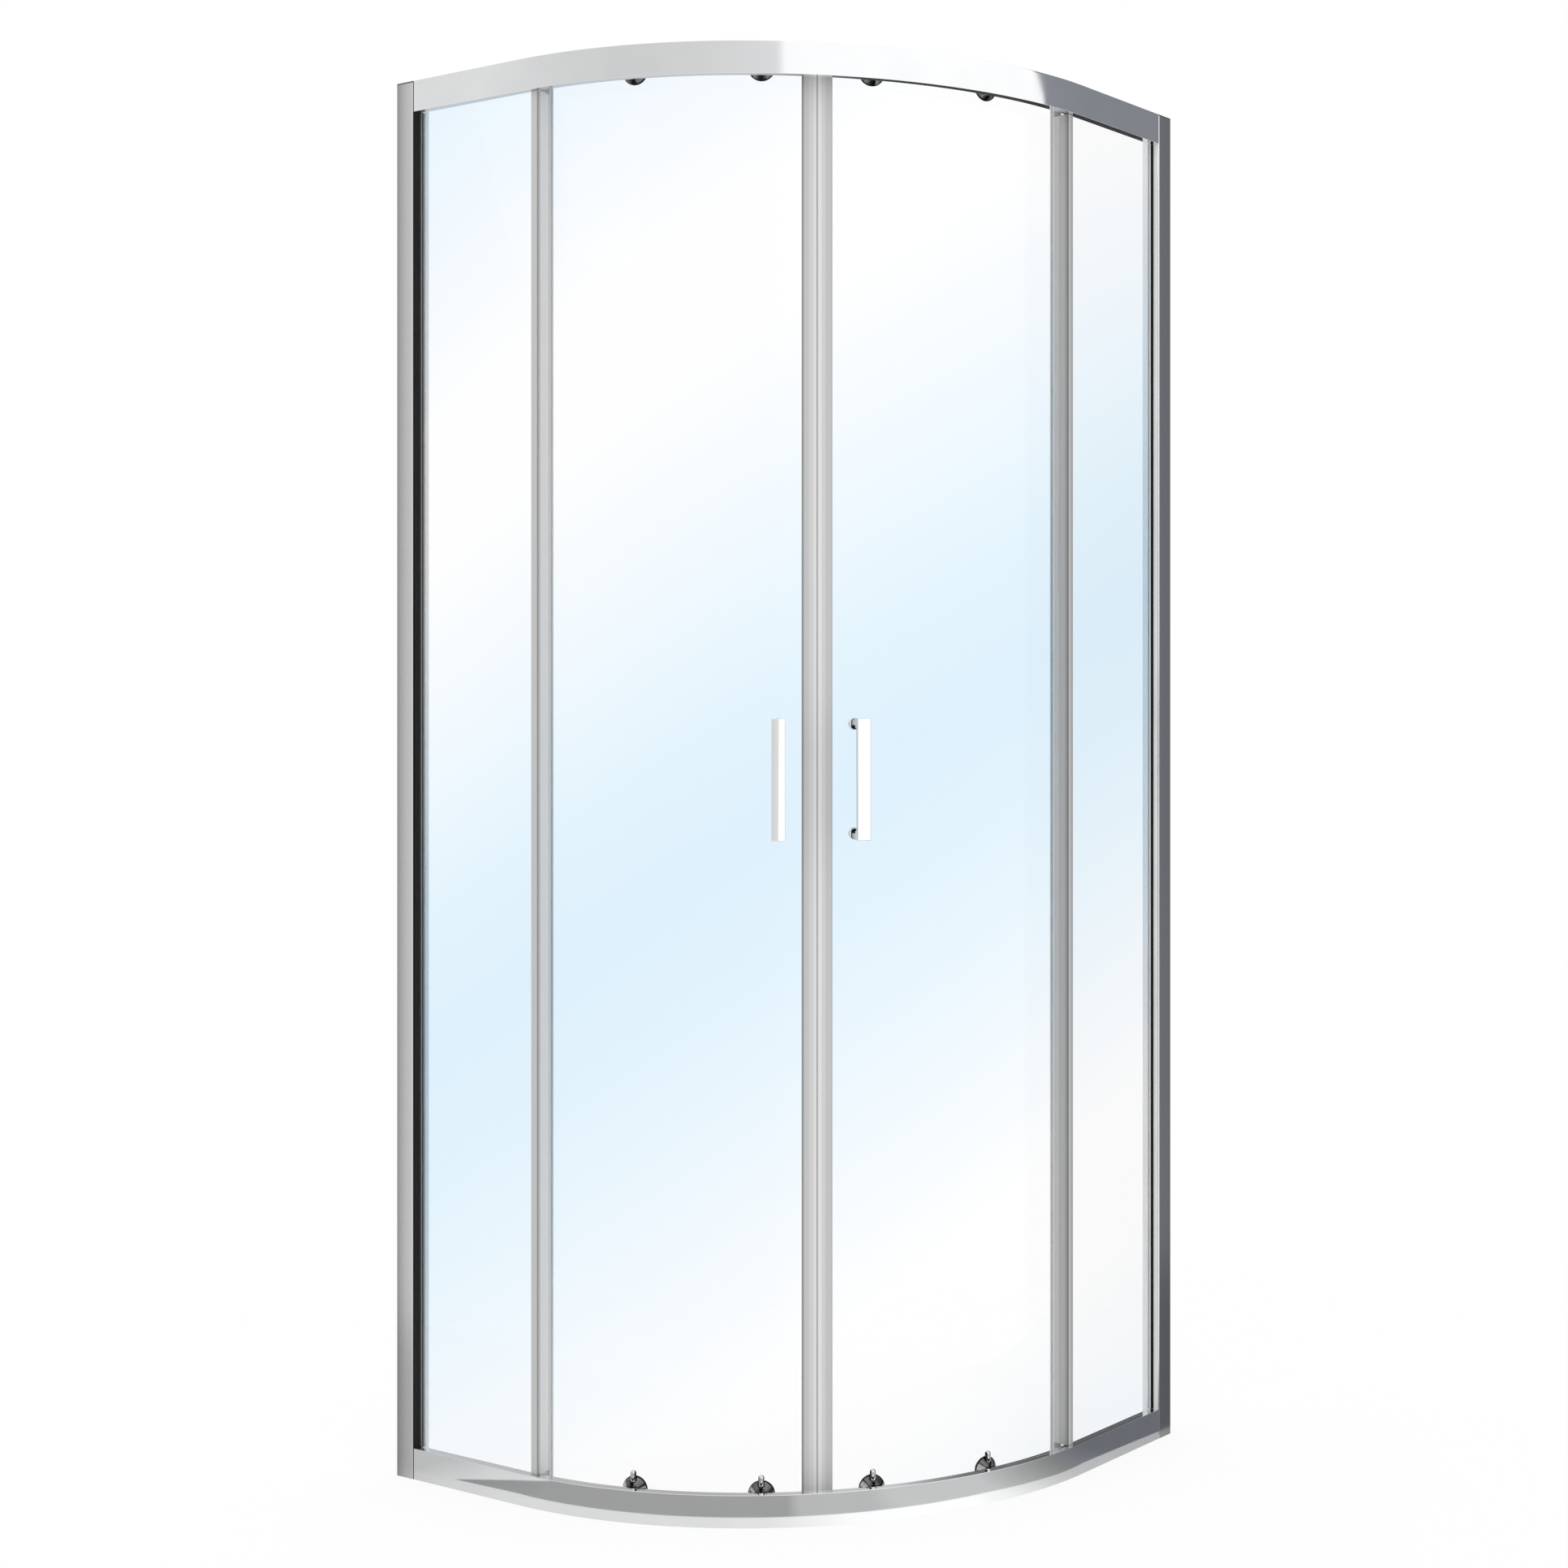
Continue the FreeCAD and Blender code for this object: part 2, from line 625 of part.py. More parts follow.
def make_edge_strip():
    """Clip-on strip on the free edge of the fixed glass, with a lip towards the door."""
    outer = FIXED_OUT_R + STRIP_FIT
    inner = FIXED_IN_R - STRIP_FIT
    tail = FIXED_GLASS_END - STRIP_COVER
    lip = strip_lip_start()
    end = lip + STRIP_END_WALL
    tip = inner - STRIP_WALL - STRIP_LIP_REACH
    plan = [
        (tail, outer),
        (tail, outer + STRIP_WALL),
        (end, outer + STRIP_WALL),
        (end, tip),
        (lip, tip),
        (lip, inner - STRIP_WALL),
        (tail, inner - STRIP_WALL),
        (tail, inner),
        (lip, inner),
        (lip, outer),
    ]
    strip = panel_prism(plan, BETWEEN_RAILS_LOW, BETWEEN_RAILS_HIGH)
    face = panel_point(tail, outer + STRIP_WALL, 0).y
    corners = [
        edge for edge in strip.Edges
        if not is_level(edge)
        and all(abs(point.y - face) < STRIP_FIT * MATCH_SHARE for point in edge_points(edge))
    ]
    return strip.makeFillet(STRIP_WALL / 2, corners)


def make_door_stop():
    """Rubber block that straddles the rib of the top rail where the rear wheel ends its run."""
    wheel_end = STRAIGHT - RIB_MIDDLE_R * math.sin(math.radians(DOOR_TRAVEL_ANGLE - REAR_ROLLER_ANGLE))
    face = wheel_end - WHEEL_RADIUS - STOP_GAP
    seat = HEIGHT - LIP_FACE
    half = STOP_WIDTH / 2
    block = panel_block(
        face - STOP_LENGTH, face, RIB_MIDDLE_R - half, RIB_MIDDLE_R + half, seat, seat + STOP_HEIGHT)
    groove = panel_block(
        face - STOP_LENGTH, face, LIP_INNER_R - STOP_FIT, RIB_OUTER_R + STOP_FIT,
        seat, seat + TRACK_RIB_HEIGHT + STOP_FIT)
    return block.cut(groove)


# Door glass and seals

def seam_face_angle():
    """Angle of the left magnetic seal's closing face."""
    return SEAM_ANGLE - arc_angle(SEAM_GAP / 2, DOOR_OUT_R)


def glass_front_angle():
    """Angle of the front edge of the left door glass."""
    return seam_face_angle() - arc_angle(MAGNET_NOSE_WIDTH + SEAL_FIT, DOOR_OUT_R)


def glass_rear_angle():
    """Angle of the rear edge of the left door glass."""
    return REAR_SEAL_START_ANGLE + arc_angle(SEAL_WALL + SEAL_FIT, DOOR_OUT_R)


def make_door_glass():
    """Curved door pane with drilled holes for rollers and handle."""
    glass = sector(DOOR_IN_R, DOOR_OUT_R, glass_rear_angle(), glass_front_angle(), DOOR_LOW, DOOR_HIGH)
    start = DOOR_IN_R - OVERRUN
    end = DOOR_OUT_R + OVERRUN
    for angle in ROLLER_ANGLES.values():
        for level in (BOTTOM_HUB_HEIGHT, TOP_HUB_Z):
            glass = glass.cut(on_curve(radial_rod(GLASS_HOLE_RADIUS, start, end, level), angle))
    for level in FOOT_LEVELS:
        hole = radial_rod(HANDLE_SCREW_RADIUS + HANDLE_HOLE_PLAY, start, end, level)
        glass = glass.cut(on_curve(hole, HANDLE_ANGLE))
    return glass


def make_magnet_seal():
    """Soft profile on the front edge of the left door with a nose that holds the magnet strip."""
    inner = DOOR_IN_R - SEAL_FIT
    outer = DOOR_OUT_R + SEAL_FIT
    closing = seam_face_angle()
    nose = closing - arc_angle(MAGNET_NOSE_WIDTH, DOOR_OUT_R)
    tail = nose - arc_angle(MAGNET_SEAL_COVER, DOOR_OUT_R)
    outer_leg = sector(outer, outer + SEAL_WALL, tail, closing, DOOR_LOW, DOOR_HIGH)
    inner_leg = sector(inner - SEAL_WALL, inner, tail, closing, DOOR_LOW, DOOR_HIGH)
    head = sector(inner, outer, nose, closing, DOOR_LOW, DOOR_HIGH)
    return fuse([outer_leg, inner_leg, head]).cut(make_magnet_strip())


def make_magnet_strip():
    """Flexible magnet inside the nose of the left magnetic seal."""
    end = seam_face_angle() - arc_angle(MAGNET_SKIN, DOOR_OUT_R)
    start = end - arc_angle(MAGNET_WIDTH, DOOR_OUT_R)
    middle_r = (DOOR_IN_R + DOOR_OUT_R) / 2
    half = MAGNET_DEPTH / 2
    return sector(middle_r - half, middle_r + half, start, end, DOOR_LOW, DOOR_HIGH)


def make_rear_seal():
    """Profile on the rear edge of the left door, with a fin that hooks on the strip's lip."""
    inner = DOOR_IN_R - SEAL_FIT
    outer = DOOR_OUT_R + SEAL_FIT
    start = REAR_SEAL_START_ANGLE
    web = start + arc_angle(SEAL_WALL, DOOR_OUT_R)
    lip_tip = FIXED_IN_R - STRIP_FIT - STRIP_WALL - STRIP_LIP_REACH
    fin_tip = lip_tip + REAR_FIN_OVERLAP
    hook = math.degrees(math.atan((strip_lip_start() - HOOK_GAP - STRAIGHT) / fin_tip))
    fin_start = hook - arc_angle(REAR_FIN_WALL, DOOR_OUT_R)
    end = hook + arc_angle(REAR_SEAL_TAIL, DOOR_OUT_R)
    outer_leg = sector(outer, outer + SEAL_WALL, start, end, DOOR_LOW, DOOR_HIGH)
    inner_leg = sector(inner - SEAL_WALL, inner, start, end, DOOR_LOW, DOOR_HIGH)
    back = sector(inner, outer, start, web, DOOR_LOW, DOOR_HIGH)
    fin = sector(outer + SEAL_WALL, fin_tip, fin_start, hook, BETWEEN_RAILS_LOW, BETWEEN_RAILS_HIGH)
    return fuse([outer_leg, inner_leg, back, fin])


# Rollers

def hub_body(level):
    """Conical hub with a short rim at the glass and a rounded nose."""
    rim_end = HUB_BASE_R + HUB_RIM
    profile = [
        (HUB_BASE_R, 0),
        (HUB_BASE_R, HUB_BASE_RADIUS),
        (rim_end, HUB_BASE_RADIUS),
        (HUB_FRONT_R, HUB_NOSE_RADIUS),
        (HUB_FRONT_R, 0),
    ]
    hub = turned(profile, level)
    nose = [
        edge for edge in hub.Edges
        if all(abs(point.x - HUB_FRONT_R) < HUB_EDGE_RADIUS * MATCH_SHARE for point in edge_points(edge))
        and edge.Length > HUB_NOSE_RADIUS * 2
    ]
    hub = hub.makeFillet(HUB_EDGE_RADIUS, nose)
    stud = radial_rod(STUD_RADIUS, NUT_INNER_R, HUB_BASE_R, level)
    return fuse([hub, stud])


def make_top_hub():
    """Hub of a top roller, bored for the wheel's screw."""
    hub = hub_body(TOP_HUB_Z)
    return hub.cut(radial_rod(AXLE_RADIUS, axle_root(), HUB_FRONT_R + OVERRUN, TOP_AXLE_Z))


def axle_root():
    """Radius of the inner end of a wheel screw in its hub."""
    return HUB_BASE_R + HUB_RIM


def axle_head_seat():
    """Radius of the seat of an axle's head in the wheel."""
    return WHEEL_OUTER_R - AXLE_HEAD_HEIGHT


def axle_pin(start, level):
    """Pin along a radius with a flat head flush in the wheel's outer face."""
    shank = radial_rod(AXLE_RADIUS, start, axle_head_seat(), level)
    head = radial_rod(AXLE_HEAD_RADIUS, axle_head_seat(), WHEEL_OUTER_R, level)
    return fuse([shank, head])


def make_wheel(level):
    """Grooved nylon wheel, counterbored for the head of its axle."""
    bore = AXLE_RADIUS + AXLE_PLAY
    counterbore = AXLE_HEAD_RADIUS + HEAD_PLAY
    groove_start = RIB_MIDDLE_R - GROOVE_WIDTH / 2
    groove_end = RIB_MIDDLE_R + GROOVE_WIDTH / 2
    seat = axle_head_seat() - HEAD_PLAY
    profile = [
        (WHEEL_INNER_R, bore),
        (WHEEL_INNER_R, WHEEL_RADIUS),
        (groove_start, WHEEL_RADIUS),
        (groove_start, GROOVE_RADIUS),
        (groove_end, GROOVE_RADIUS),
        (groove_end, WHEEL_RADIUS),
        (WHEEL_OUTER_R, WHEEL_RADIUS),
        (WHEEL_OUTER_R, counterbore),
        (seat, counterbore),
        (seat, bore),
    ]
    return turned(profile, level)


def plunger_rod(radius, low, high):
    """Upright rod on the plunger's axis."""
    return Part.makeCylinder(radius, high - low, Vector(PLUNGER_R, 0, low), UP)


def block_top():
    """Height of the top of the plunger's wheel block."""
    return SHOULDER_HEIGHT - SHOULDER_WALL - TRACK_PLAY


def button_underside():
    """Height of the spring's upper seat under the button."""
    return SHOULDER_HEIGHT + SPRING_SPACE


def make_bottom_housing():
    """Housing of a bottom roller: stepped upright bore for the plunger and a slot for the axle."""
    level = BOTTOM_HUB_HEIGHT
    top = level + HUB_BASE_RADIUS + OVERRUN
    bottom = level - HUB_BASE_RADIUS - OVERRUN
    bore = PLUNGER_RADIUS + PLUNGER_PLAY
    housing = hub_body(level)
    housing = housing.cut(plunger_rod(bore, SHOULDER_HEIGHT, top))
    housing = housing.cut(plunger_rod(ROD_RADIUS + PLUNGER_PLAY, bottom, top))
    housing = housing.cut(plunger_rod(bore, bottom, SHOULDER_HEIGHT - SHOULDER_WALL))
    slot_half = AXLE_RADIUS + PLUNGER_PLAY
    slot_top = BOTTOM_AXLE_Z + slot_half
    slot_length = HUB_DEPTH + OVERRUN
    slot_start = Vector(PLUNGER_R, -slot_half, bottom)
    slot = Part.makeBox(slot_length, 2 * slot_half, slot_top - bottom, slot_start)
    return housing.cut(slot)


def make_plunger():
    """Release plunger: rounded button, thin rod, wheel block and axle in one piece."""
    dome_start = BUTTON_TOP - PLUNGER_RADIUS
    button = plunger_rod(PLUNGER_RADIUS, button_underside(), dome_start)
    dome = Part.makeSphere(PLUNGER_RADIUS, Vector(PLUNGER_R, 0, dome_start))
    dome_space = plunger_rod(2 * PLUNGER_RADIUS, dome_start, BUTTON_TOP + OVERRUN)
    rod = plunger_rod(ROD_RADIUS, block_top(), button_underside())
    block = plunger_rod(PLUNGER_RADIUS, BOTTOM_AXLE_Z - BLOCK_BELOW_AXLE, block_top())
    axle = axle_pin(PLUNGER_R, BOTTOM_AXLE_Z)
    return fuse([button, dome.common(dome_space), rod, block, axle])


def make_spring():
    """Return spring round the plunger's rod, drawn as a plain sleeve inside the closed bore."""
    outer = PLUNGER_RADIUS - SPRING_SIDE_PLAY
    sleeve = plunger_rod(outer, SHOULDER_HEIGHT, button_underside())
    return sleeve.cut(plunger_rod(outer - SPRING_WALL, SHOULDER_HEIGHT, button_underside()))


def make_nut(level):
    """Round slotted nut on the inner face of the glass."""
    nut = radial_rod(NUT_RADIUS, NUT_INNER_R, NUT_OUTER_R, level)
    rim = [
        edge for edge in nut.Edges
        if all(abs(point.x - NUT_INNER_R) < NUT_EDGE_RADIUS * MATCH_SHARE for point in edge_points(edge))
    ]
    nut = nut.makeFillet(NUT_EDGE_RADIUS, rim)
    slot = Part.makeBox(
        NUT_SLOT_DEPTH, 2 * NUT_RADIUS, NUT_SLOT_WIDTH,
        Vector(NUT_INNER_R, -NUT_RADIUS, level - NUT_SLOT_WIDTH / 2))
    stud = radial_rod(STUD_RADIUS, NUT_INNER_R, NUT_OUTER_R, level)
    return nut.cut(slot).cut(stud)


def make_glass_sleeve(level):
    """Plastic sleeve that keeps the roller's stud off the edge of the hole in the glass."""
    outer = radial_rod(GLASS_HOLE_RADIUS, DOOR_IN_R, DOOR_OUT_R, level)
    return outer.cut(radial_rod(STUD_RADIUS, DOOR_IN_R, DOOR_OUT_R, level))


# Handles

def make_handle():
    """Bar handle with a slightly crowned face and two square feet, drilled from behind."""
    half = HANDLE_WIDTH / 2
    flank = HANDLE_FRONT_R - HANDLE_CROWN
    crown = Part.Arc(
        Vector(flank, -half, HANDLE_BOTTOM), Vector(HANDLE_FRONT_R, 0, HANDLE_BOTTOM),
        Vector(flank, half, HANDLE_BOTTOM)).toShape()
    back_corners = [
        Vector(flank, half, HANDLE_BOTTOM),
        Vector(HANDLE_BACK_R, half, HANDLE_BOTTOM),
        Vector(HANDLE_BACK_R, -half, HANDLE_BOTTOM),
        Vector(flank, -half, HANDLE_BOTTOM),
    ]
    plan = Part.Face(Part.Wire([crown] + Part.makePolygon(back_corners).Edges))
    bar = plan.extrude(Vector(0, 0, HANDLE_LENGTH))
    rims = [
        edge for edge in bar.Edges
        if all(point.x > HANDLE_BACK_R + HANDLE_EDGE_RADIUS for point in edge_points(edge))
    ]
    bar = bar.makeFillet(HANDLE_EDGE_RADIUS, rims)
    pieces = [bar]
    for level in FOOT_LEVELS:
        corner = Vector(FOOT_BASE_R, -FOOT_WIDTH / 2, level - FOOT_HEIGHT / 2)
        foot = Part.makeBox(HANDLE_BACK_R - FOOT_BASE_R, FOOT_WIDTH, FOOT_HEIGHT, corner)
        lengthwise = [
            edge for edge in foot.Edges
            if edge.BoundBox.XLength > FOOT_WIDTH
        ]
        pieces.append(foot.makeFillet(FOOT_EDGE_RADIUS, lengthwise))
    handle = fuse(pieces)
    for level in FOOT_LEVELS:
        hole = radial_rod(HANDLE_SCREW_RADIUS, FOOT_BASE_R, FOOT_BASE_R + HANDLE_SCREW_DEPTH, level)
        handle = handle.cut(hole)
    return on_curve(handle, HANDLE_ANGLE)


def make_handle_pads():
    """Soft round pads at each handle screw, shaped to both faces of the curved glass."""
    pads = []
    pane = sector(DOOR_IN_R, DOOR_OUT_R, glass_rear_angle(), glass_front_angle(), DOOR_LOW, DOOR_HIGH)
    for level in FOOT_LEVELS:
        for start in (DOOR_OUT_R, DOOR_IN_R - PAD_THICKNESS):
            pad = radial_rod(PAD_RADIUS, start, start + PAD_THICKNESS, level)
            hole = radial_rod(HANDLE_SCREW_RADIUS, start, start + PAD_THICKNESS, level)
            pads.append(on_curve(pad.cut(hole), HANDLE_ANGLE).cut(pane))
    return pads


def make_handle_screws():
    """Two screws with round heads on the inside of the glass, one into each foot."""
    screws = []
    seat = DOOR_IN_R - PAD_THICKNESS
    for level in FOOT_LEVELS:
        head = radial_rod(HANDLE_SCREW_HEAD_RADIUS, seat - HANDLE_SCREW_HEAD_HEIGHT, seat, level)
        rim = [
            edge for edge in head.Edges
            if all(point.x < seat - HANDLE_SCREW_HEAD_HEIGHT / 2 for point in edge_points(edge))
        ]
        head = head.makeFillet(HANDLE_SCREW_HEAD_HEIGHT / 3, rim)
        shank = radial_rod(HANDLE_SCREW_RADIUS, seat, FOOT_BASE_R + HANDLE_SCREW_DEPTH, level)
        screws.append(on_curve(fuse([head, shank]), HANDLE_ANGLE))
    return screws


# Assembly of the fixed frame
nodes["bottom_rail"] = make_bottom_rail()
nodes["top_rail"] = upside_down(nodes["bottom_rail"])
add_pair("wall_profile", make_wall_profile())
add_pair("wall_cap", make_wall_cap())
add_pair("glass_post", make_glass_post())
add_pair("post_gasket", make_gasket())
add_pair("fixed_glass", make_fixed_glass())
add_pair("fixed_edge_strip", make_edge_strip())
low_strip = make_setting_strip()
add_group("setting_strips", [low_strip, upside_down(low_strip)])
add_group("rail_screws", make_rail_screws())
add_group("post_screws", make_post_screws())
add_group("door_stops", [make_door_stop()])

# Assembly of the doors
add_pair("door_glass", make_door_glass())
add_pair("magnet_seal", make_magnet_seal())
add_pair("magnet_strip", make_magnet_strip())
add_pair("rear_seal", make_rear_seal())
add_pair("handle", make_handle())
add_pair("handle_pads", Part.makeCompound(make_handle_pads()))
add_pair("handle_screws", Part.makeCompound(make_handle_screws()))

top_hubs = []
top_wheel_screws = []
bottom_housings = []
nuts = []
sleeves = []
for place, angle in ROLLER_ANGLES.items():
    top_hubs.append(on_curve(make_top_hub(), angle))
    top_wheel_screws.append(on_curve(axle_pin(axle_root(), TOP_AXLE_Z), angle))
    bottom_housings.append(on_curve(make_bottom_housing(), angle))
    for level in (BOTTOM_HUB_HEIGHT, TOP_HUB_Z):
        nuts.append(on_curve(make_nut(level), angle))
        sleeves.append(on_curve(make_glass_sleeve(level), angle))
    add_pair("top_wheel_" + place, on_curve(make_wheel(TOP_AXLE_Z), angle))
    add_pair("bottom_wheel_" + place, on_curve(make_wheel(BOTTOM_AXLE_Z), angle))
    add_pair("release_plunger_" + place, on_curve(make_plunger(), angle))
    add_pair("release_spring_" + place, on_curve(make_spring(), angle))
add_pair("top_hubs", Part.makeCompound(top_hubs))
add_pair("top_wheel_screws", Part.makeCompound(top_wheel_screws))
add_pair("bottom_housings", Part.makeCompound(bottom_housings))
add_pair("roller_nuts", Part.makeCompound(nuts))
add_pair("glass_sleeves", Part.makeCompound(sleeves))

# Files
os.makedirs("parts", exist_ok=True)
for name, shape in nodes.items():
    shape.exportStep("parts/" + name + ".step")
print(len(nodes), "nodes")
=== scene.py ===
# %% [markdown]
# # Corner shower enclosure
# This lesson dresses a finished mechanical model: the rails, glass, rollers and handles already sit
# at their real size and place. We load them, add a camera, a studio and finishes, and remodel the
# pieces whose curves have to be smoother than the mechanical model needs.

# %% Load the mechanical model
import json
import math
import bmesh
import bpy
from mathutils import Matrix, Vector


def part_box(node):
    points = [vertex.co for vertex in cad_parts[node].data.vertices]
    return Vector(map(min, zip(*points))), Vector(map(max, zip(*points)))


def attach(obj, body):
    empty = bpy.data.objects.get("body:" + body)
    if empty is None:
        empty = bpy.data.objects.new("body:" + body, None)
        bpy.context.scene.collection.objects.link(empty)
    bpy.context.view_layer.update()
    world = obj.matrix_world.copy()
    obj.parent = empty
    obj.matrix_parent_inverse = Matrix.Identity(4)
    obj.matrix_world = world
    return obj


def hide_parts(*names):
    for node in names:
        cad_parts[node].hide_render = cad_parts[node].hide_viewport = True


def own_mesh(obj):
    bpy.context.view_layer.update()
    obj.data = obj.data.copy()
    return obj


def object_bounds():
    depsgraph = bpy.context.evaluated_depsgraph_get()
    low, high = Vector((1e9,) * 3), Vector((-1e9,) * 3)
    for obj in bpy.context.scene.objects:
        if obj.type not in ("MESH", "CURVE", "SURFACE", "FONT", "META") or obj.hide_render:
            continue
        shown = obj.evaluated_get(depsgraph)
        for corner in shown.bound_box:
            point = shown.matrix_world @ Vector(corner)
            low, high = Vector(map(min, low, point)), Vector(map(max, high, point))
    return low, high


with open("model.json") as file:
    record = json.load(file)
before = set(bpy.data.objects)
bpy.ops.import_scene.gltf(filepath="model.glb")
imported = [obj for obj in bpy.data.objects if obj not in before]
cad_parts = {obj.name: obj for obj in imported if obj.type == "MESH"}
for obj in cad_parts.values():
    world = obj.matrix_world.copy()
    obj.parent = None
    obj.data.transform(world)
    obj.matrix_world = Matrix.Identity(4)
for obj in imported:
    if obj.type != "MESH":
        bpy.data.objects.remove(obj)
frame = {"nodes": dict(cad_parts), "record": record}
nodes = frame["nodes"]
cad_low, cad_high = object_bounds()
print("mechanical model", len(nodes), "nodes, size", [round(side, 4) for side in cad_high - cad_low])

# %% [markdown]
# ## Camera
# The photograph was taken from a little above half height, with level verticals. A camera that is tilted
# would make them lean, and they would have to be straightened afterwards. So this one looks straight
# ahead and its picture is shifted, which keeps every upright edge upright.

# %% Camera at the photograph's angle
CAMERA_PLACE = (2.31025, -2.83160, 1.06768)
CAMERA_TURN_DEG = 34.36
LENS_MM = 57.95
SENSOR_MM = 36.0
SHIFT_X = -0.1434
SHIFT_Y = -0.0449

bpy.ops.object.select_all(action="DESELECT")
level_turn = (math.radians(90), 0, math.radians(CAMERA_TURN_DEG))
bpy.ops.object.camera_add(location=CAMERA_PLACE, rotation=level_turn)
camera = bpy.context.object
camera.data.sensor_width = SENSOR_MM
camera.data.lens = LENS_MM
camera.data.shift_x = SHIFT_X
camera.data.shift_y = SHIFT_Y
bpy.context.scene.camera = camera
print("camera at", CAMERA_PLACE)

# %% [markdown]
# ## Surround
# The enclosure stands in a white studio. A picture of a real room could light it too, but the room's
# windows and walls would then show in the metal and the glass. A plain white world gives even light from
# all sides and a white background at once.

# %% World
WHITE = (1.0, 1.0, 1.0, 1.0)
WORLD_STRENGTH = 1.0

scene = bpy.context.scene
scene.view_settings.view_transform = "Standard"


def make_world():
    """White surround that is the same for the eye, in mirrors and as light."""
    world = bpy.data.worlds.new("studio_surround")
    scene.world = world
    world.use_nodes = True
    tree = world.node_tree
    tree.nodes.clear()
    output = tree.nodes.new("ShaderNodeOutputWorld")
    light = tree.nodes.new("ShaderNodeBackground")
    light.inputs["Color"].default_value = WHITE
    light.inputs["Strength"].default_value = WORLD_STRENGTH
    tree.links.new(light.outputs[0], output.inputs["Surface"])


make_world()
print("white surround of strength", WORLD_STRENGTH)

# %% [markdown]
# ## Materials from nodes
# A finish in Blender is a small tree of nodes that ends in an output. A new material usually starts with one
# shader that suits most things, but floor and cards need others. So one helper starts from an empty tree,
# and another blends two shaders by a share.

# %% Empty materials and blends
def new_tree(name):
    """Empty node material with its output, ready to be wired."""
    material = bpy.data.materials.new(name)
    material.use_nodes = True
    tree = material.node_tree
    tree.nodes.clear()
    output = tree.nodes.new("ShaderNodeOutputMaterial")
    return material, tree, output


def mix_shaders(tree, share, first, second):
    """Blend of two shaders by a share, which is a number or a node's output."""
    blend = tree.nodes.new("ShaderNodeMixShader")
    if isinstance(share, float):
        blend.inputs["Fac"].default_value = share
    else:
        tree.links.new(share, blend.inputs["Fac"])
    tree.links.new(first, blend.inputs[1])
    tree.links.new(second, blend.inputs[2])
    return blend.outputs[0]


print("materials so far:", len(bpy.data.materials))

# %% [markdown]
# ## Floor
# Product pictures are often taken on a roll of white paper. A plane that only glows would be white but
# would lose the shadow, and a plain matt one turns grey away from the lamp. So this floor is part matt
# and part glow, and it turns clear with distance, where the white world takes over without an edge.

# %% Floor
FLOOR_SIZE = 8.0
FLOOR_DROP = 0.0005
FLOOR_FADE_START = 0.7
FLOOR_FADE_END = 1.6
FLOOR_COLOUR = (0.99, 0.99, 0.99, 1.0)
FLOOR_GLOW_SHARE = 0.84


def make_floor():
    """White floor that keeps the shadow near the object and fades out with distance."""
    bpy.ops.object.select_all(action="DESELECT")
    bpy.ops.mesh.primitive_plane_add(size=FLOOR_SIZE, location=(0, 0, -FLOOR_DROP))
    floor = bpy.context.object
    floor.name = "studio_floor"
    material, tree, output = new_tree("white_floor")
    matt = tree.nodes.new("ShaderNodeBsdfDiffuse")
    matt.inputs["Color"].default_value = FLOOR_COLOUR
    glow = tree.nodes.new("ShaderNodeEmission")
    glow.inputs["Color"].default_value = WHITE
    clear = tree.nodes.new("ShaderNodeBsdfTransparent")
    coords = tree.nodes.new("ShaderNodeTexCoord")
    reach = tree.nodes.new("ShaderNodeVectorMath")
    reach.operation = "LENGTH"
    fade = tree.nodes.new("ShaderNodeMapRange")
    fade.interpolation_type = "SMOOTHSTEP"
    fade.inputs["From Min"].default_value = FLOOR_FADE_START
    fade.inputs["From Max"].default_value = FLOOR_FADE_END
    tree.links.new(coords.outputs["Object"], reach.inputs[0])
    tree.links.new(reach.outputs["Value"], fade.inputs["Value"])
    pale = mix_shaders(tree, FLOOR_GLOW_SHARE, matt.outputs[0], glow.outputs[0])
    faded = mix_shaders(tree, fade.outputs["Result"], pale, clear.outputs[0])
    tree.links.new(faded, output.inputs["Surface"])
    floor.data.materials.append(material)


make_floor()
print("floor fades out between", FLOOR_FADE_START, "and", FLOOR_FADE_END, "m")

# %% [markdown]
# ## Soft lamp
# Photographers soften a lamp with a large white sheet. A sun lamp would draw hard shadows, so we take a
# large area lamp, above and to the left of the camera. It is hidden from mirrors, because the cards of
# the next steps decide what the metal shows.

# %% Soft lamp
KEY_PLACE = (-1.2, -2.6, 3.2)
KEY_SIZE = 2.4
KEY_WATTS = 14.0


def make_key_lamp():
    """Large soft lamp that points at the middle of the object."""
    bpy.ops.object.select_all(action="DESELECT")
    bpy.ops.object.light_add(type="AREA", location=KEY_PLACE)
    lamp = bpy.context.object
    lamp.data.size = KEY_SIZE
    lamp.data.energy = KEY_WATTS
    middle = (cad_low + cad_high) / 2
    lamp.rotation_euler = (middle - Vector(KEY_PLACE)).to_track_quat("-Z", "Y").to_euler()
    lamp.visible_glossy = False


make_key_lamp()
print("soft lamp of", KEY_WATTS, "W, side", KEY_SIZE, "m")

# %% [markdown]
# ## Sums in node trees
# Where a tone begins or ends is worked out by sums of nodes. Wired one by one, each sum would take four
# lines. So short helpers add a sum, hold a value between two ends and split a place into its three parts.

# %% Sums in node trees
def math_node(tree, operation, *values):
    """One sum on numbers or node outputs."""
    node = tree.nodes.new("ShaderNodeMath")
    node.operation = operation
    for socket, value in zip(node.inputs, values):
        if isinstance(value, (int, float)):
            socket.default_value = value
        else:
            tree.links.new(value, socket)
    return node.outputs[0]


def between(tree, value, low, high):
    """Value held between two ends."""
    return math_node(tree, "MINIMUM", math_node(tree, "MAXIMUM", value, low), high)


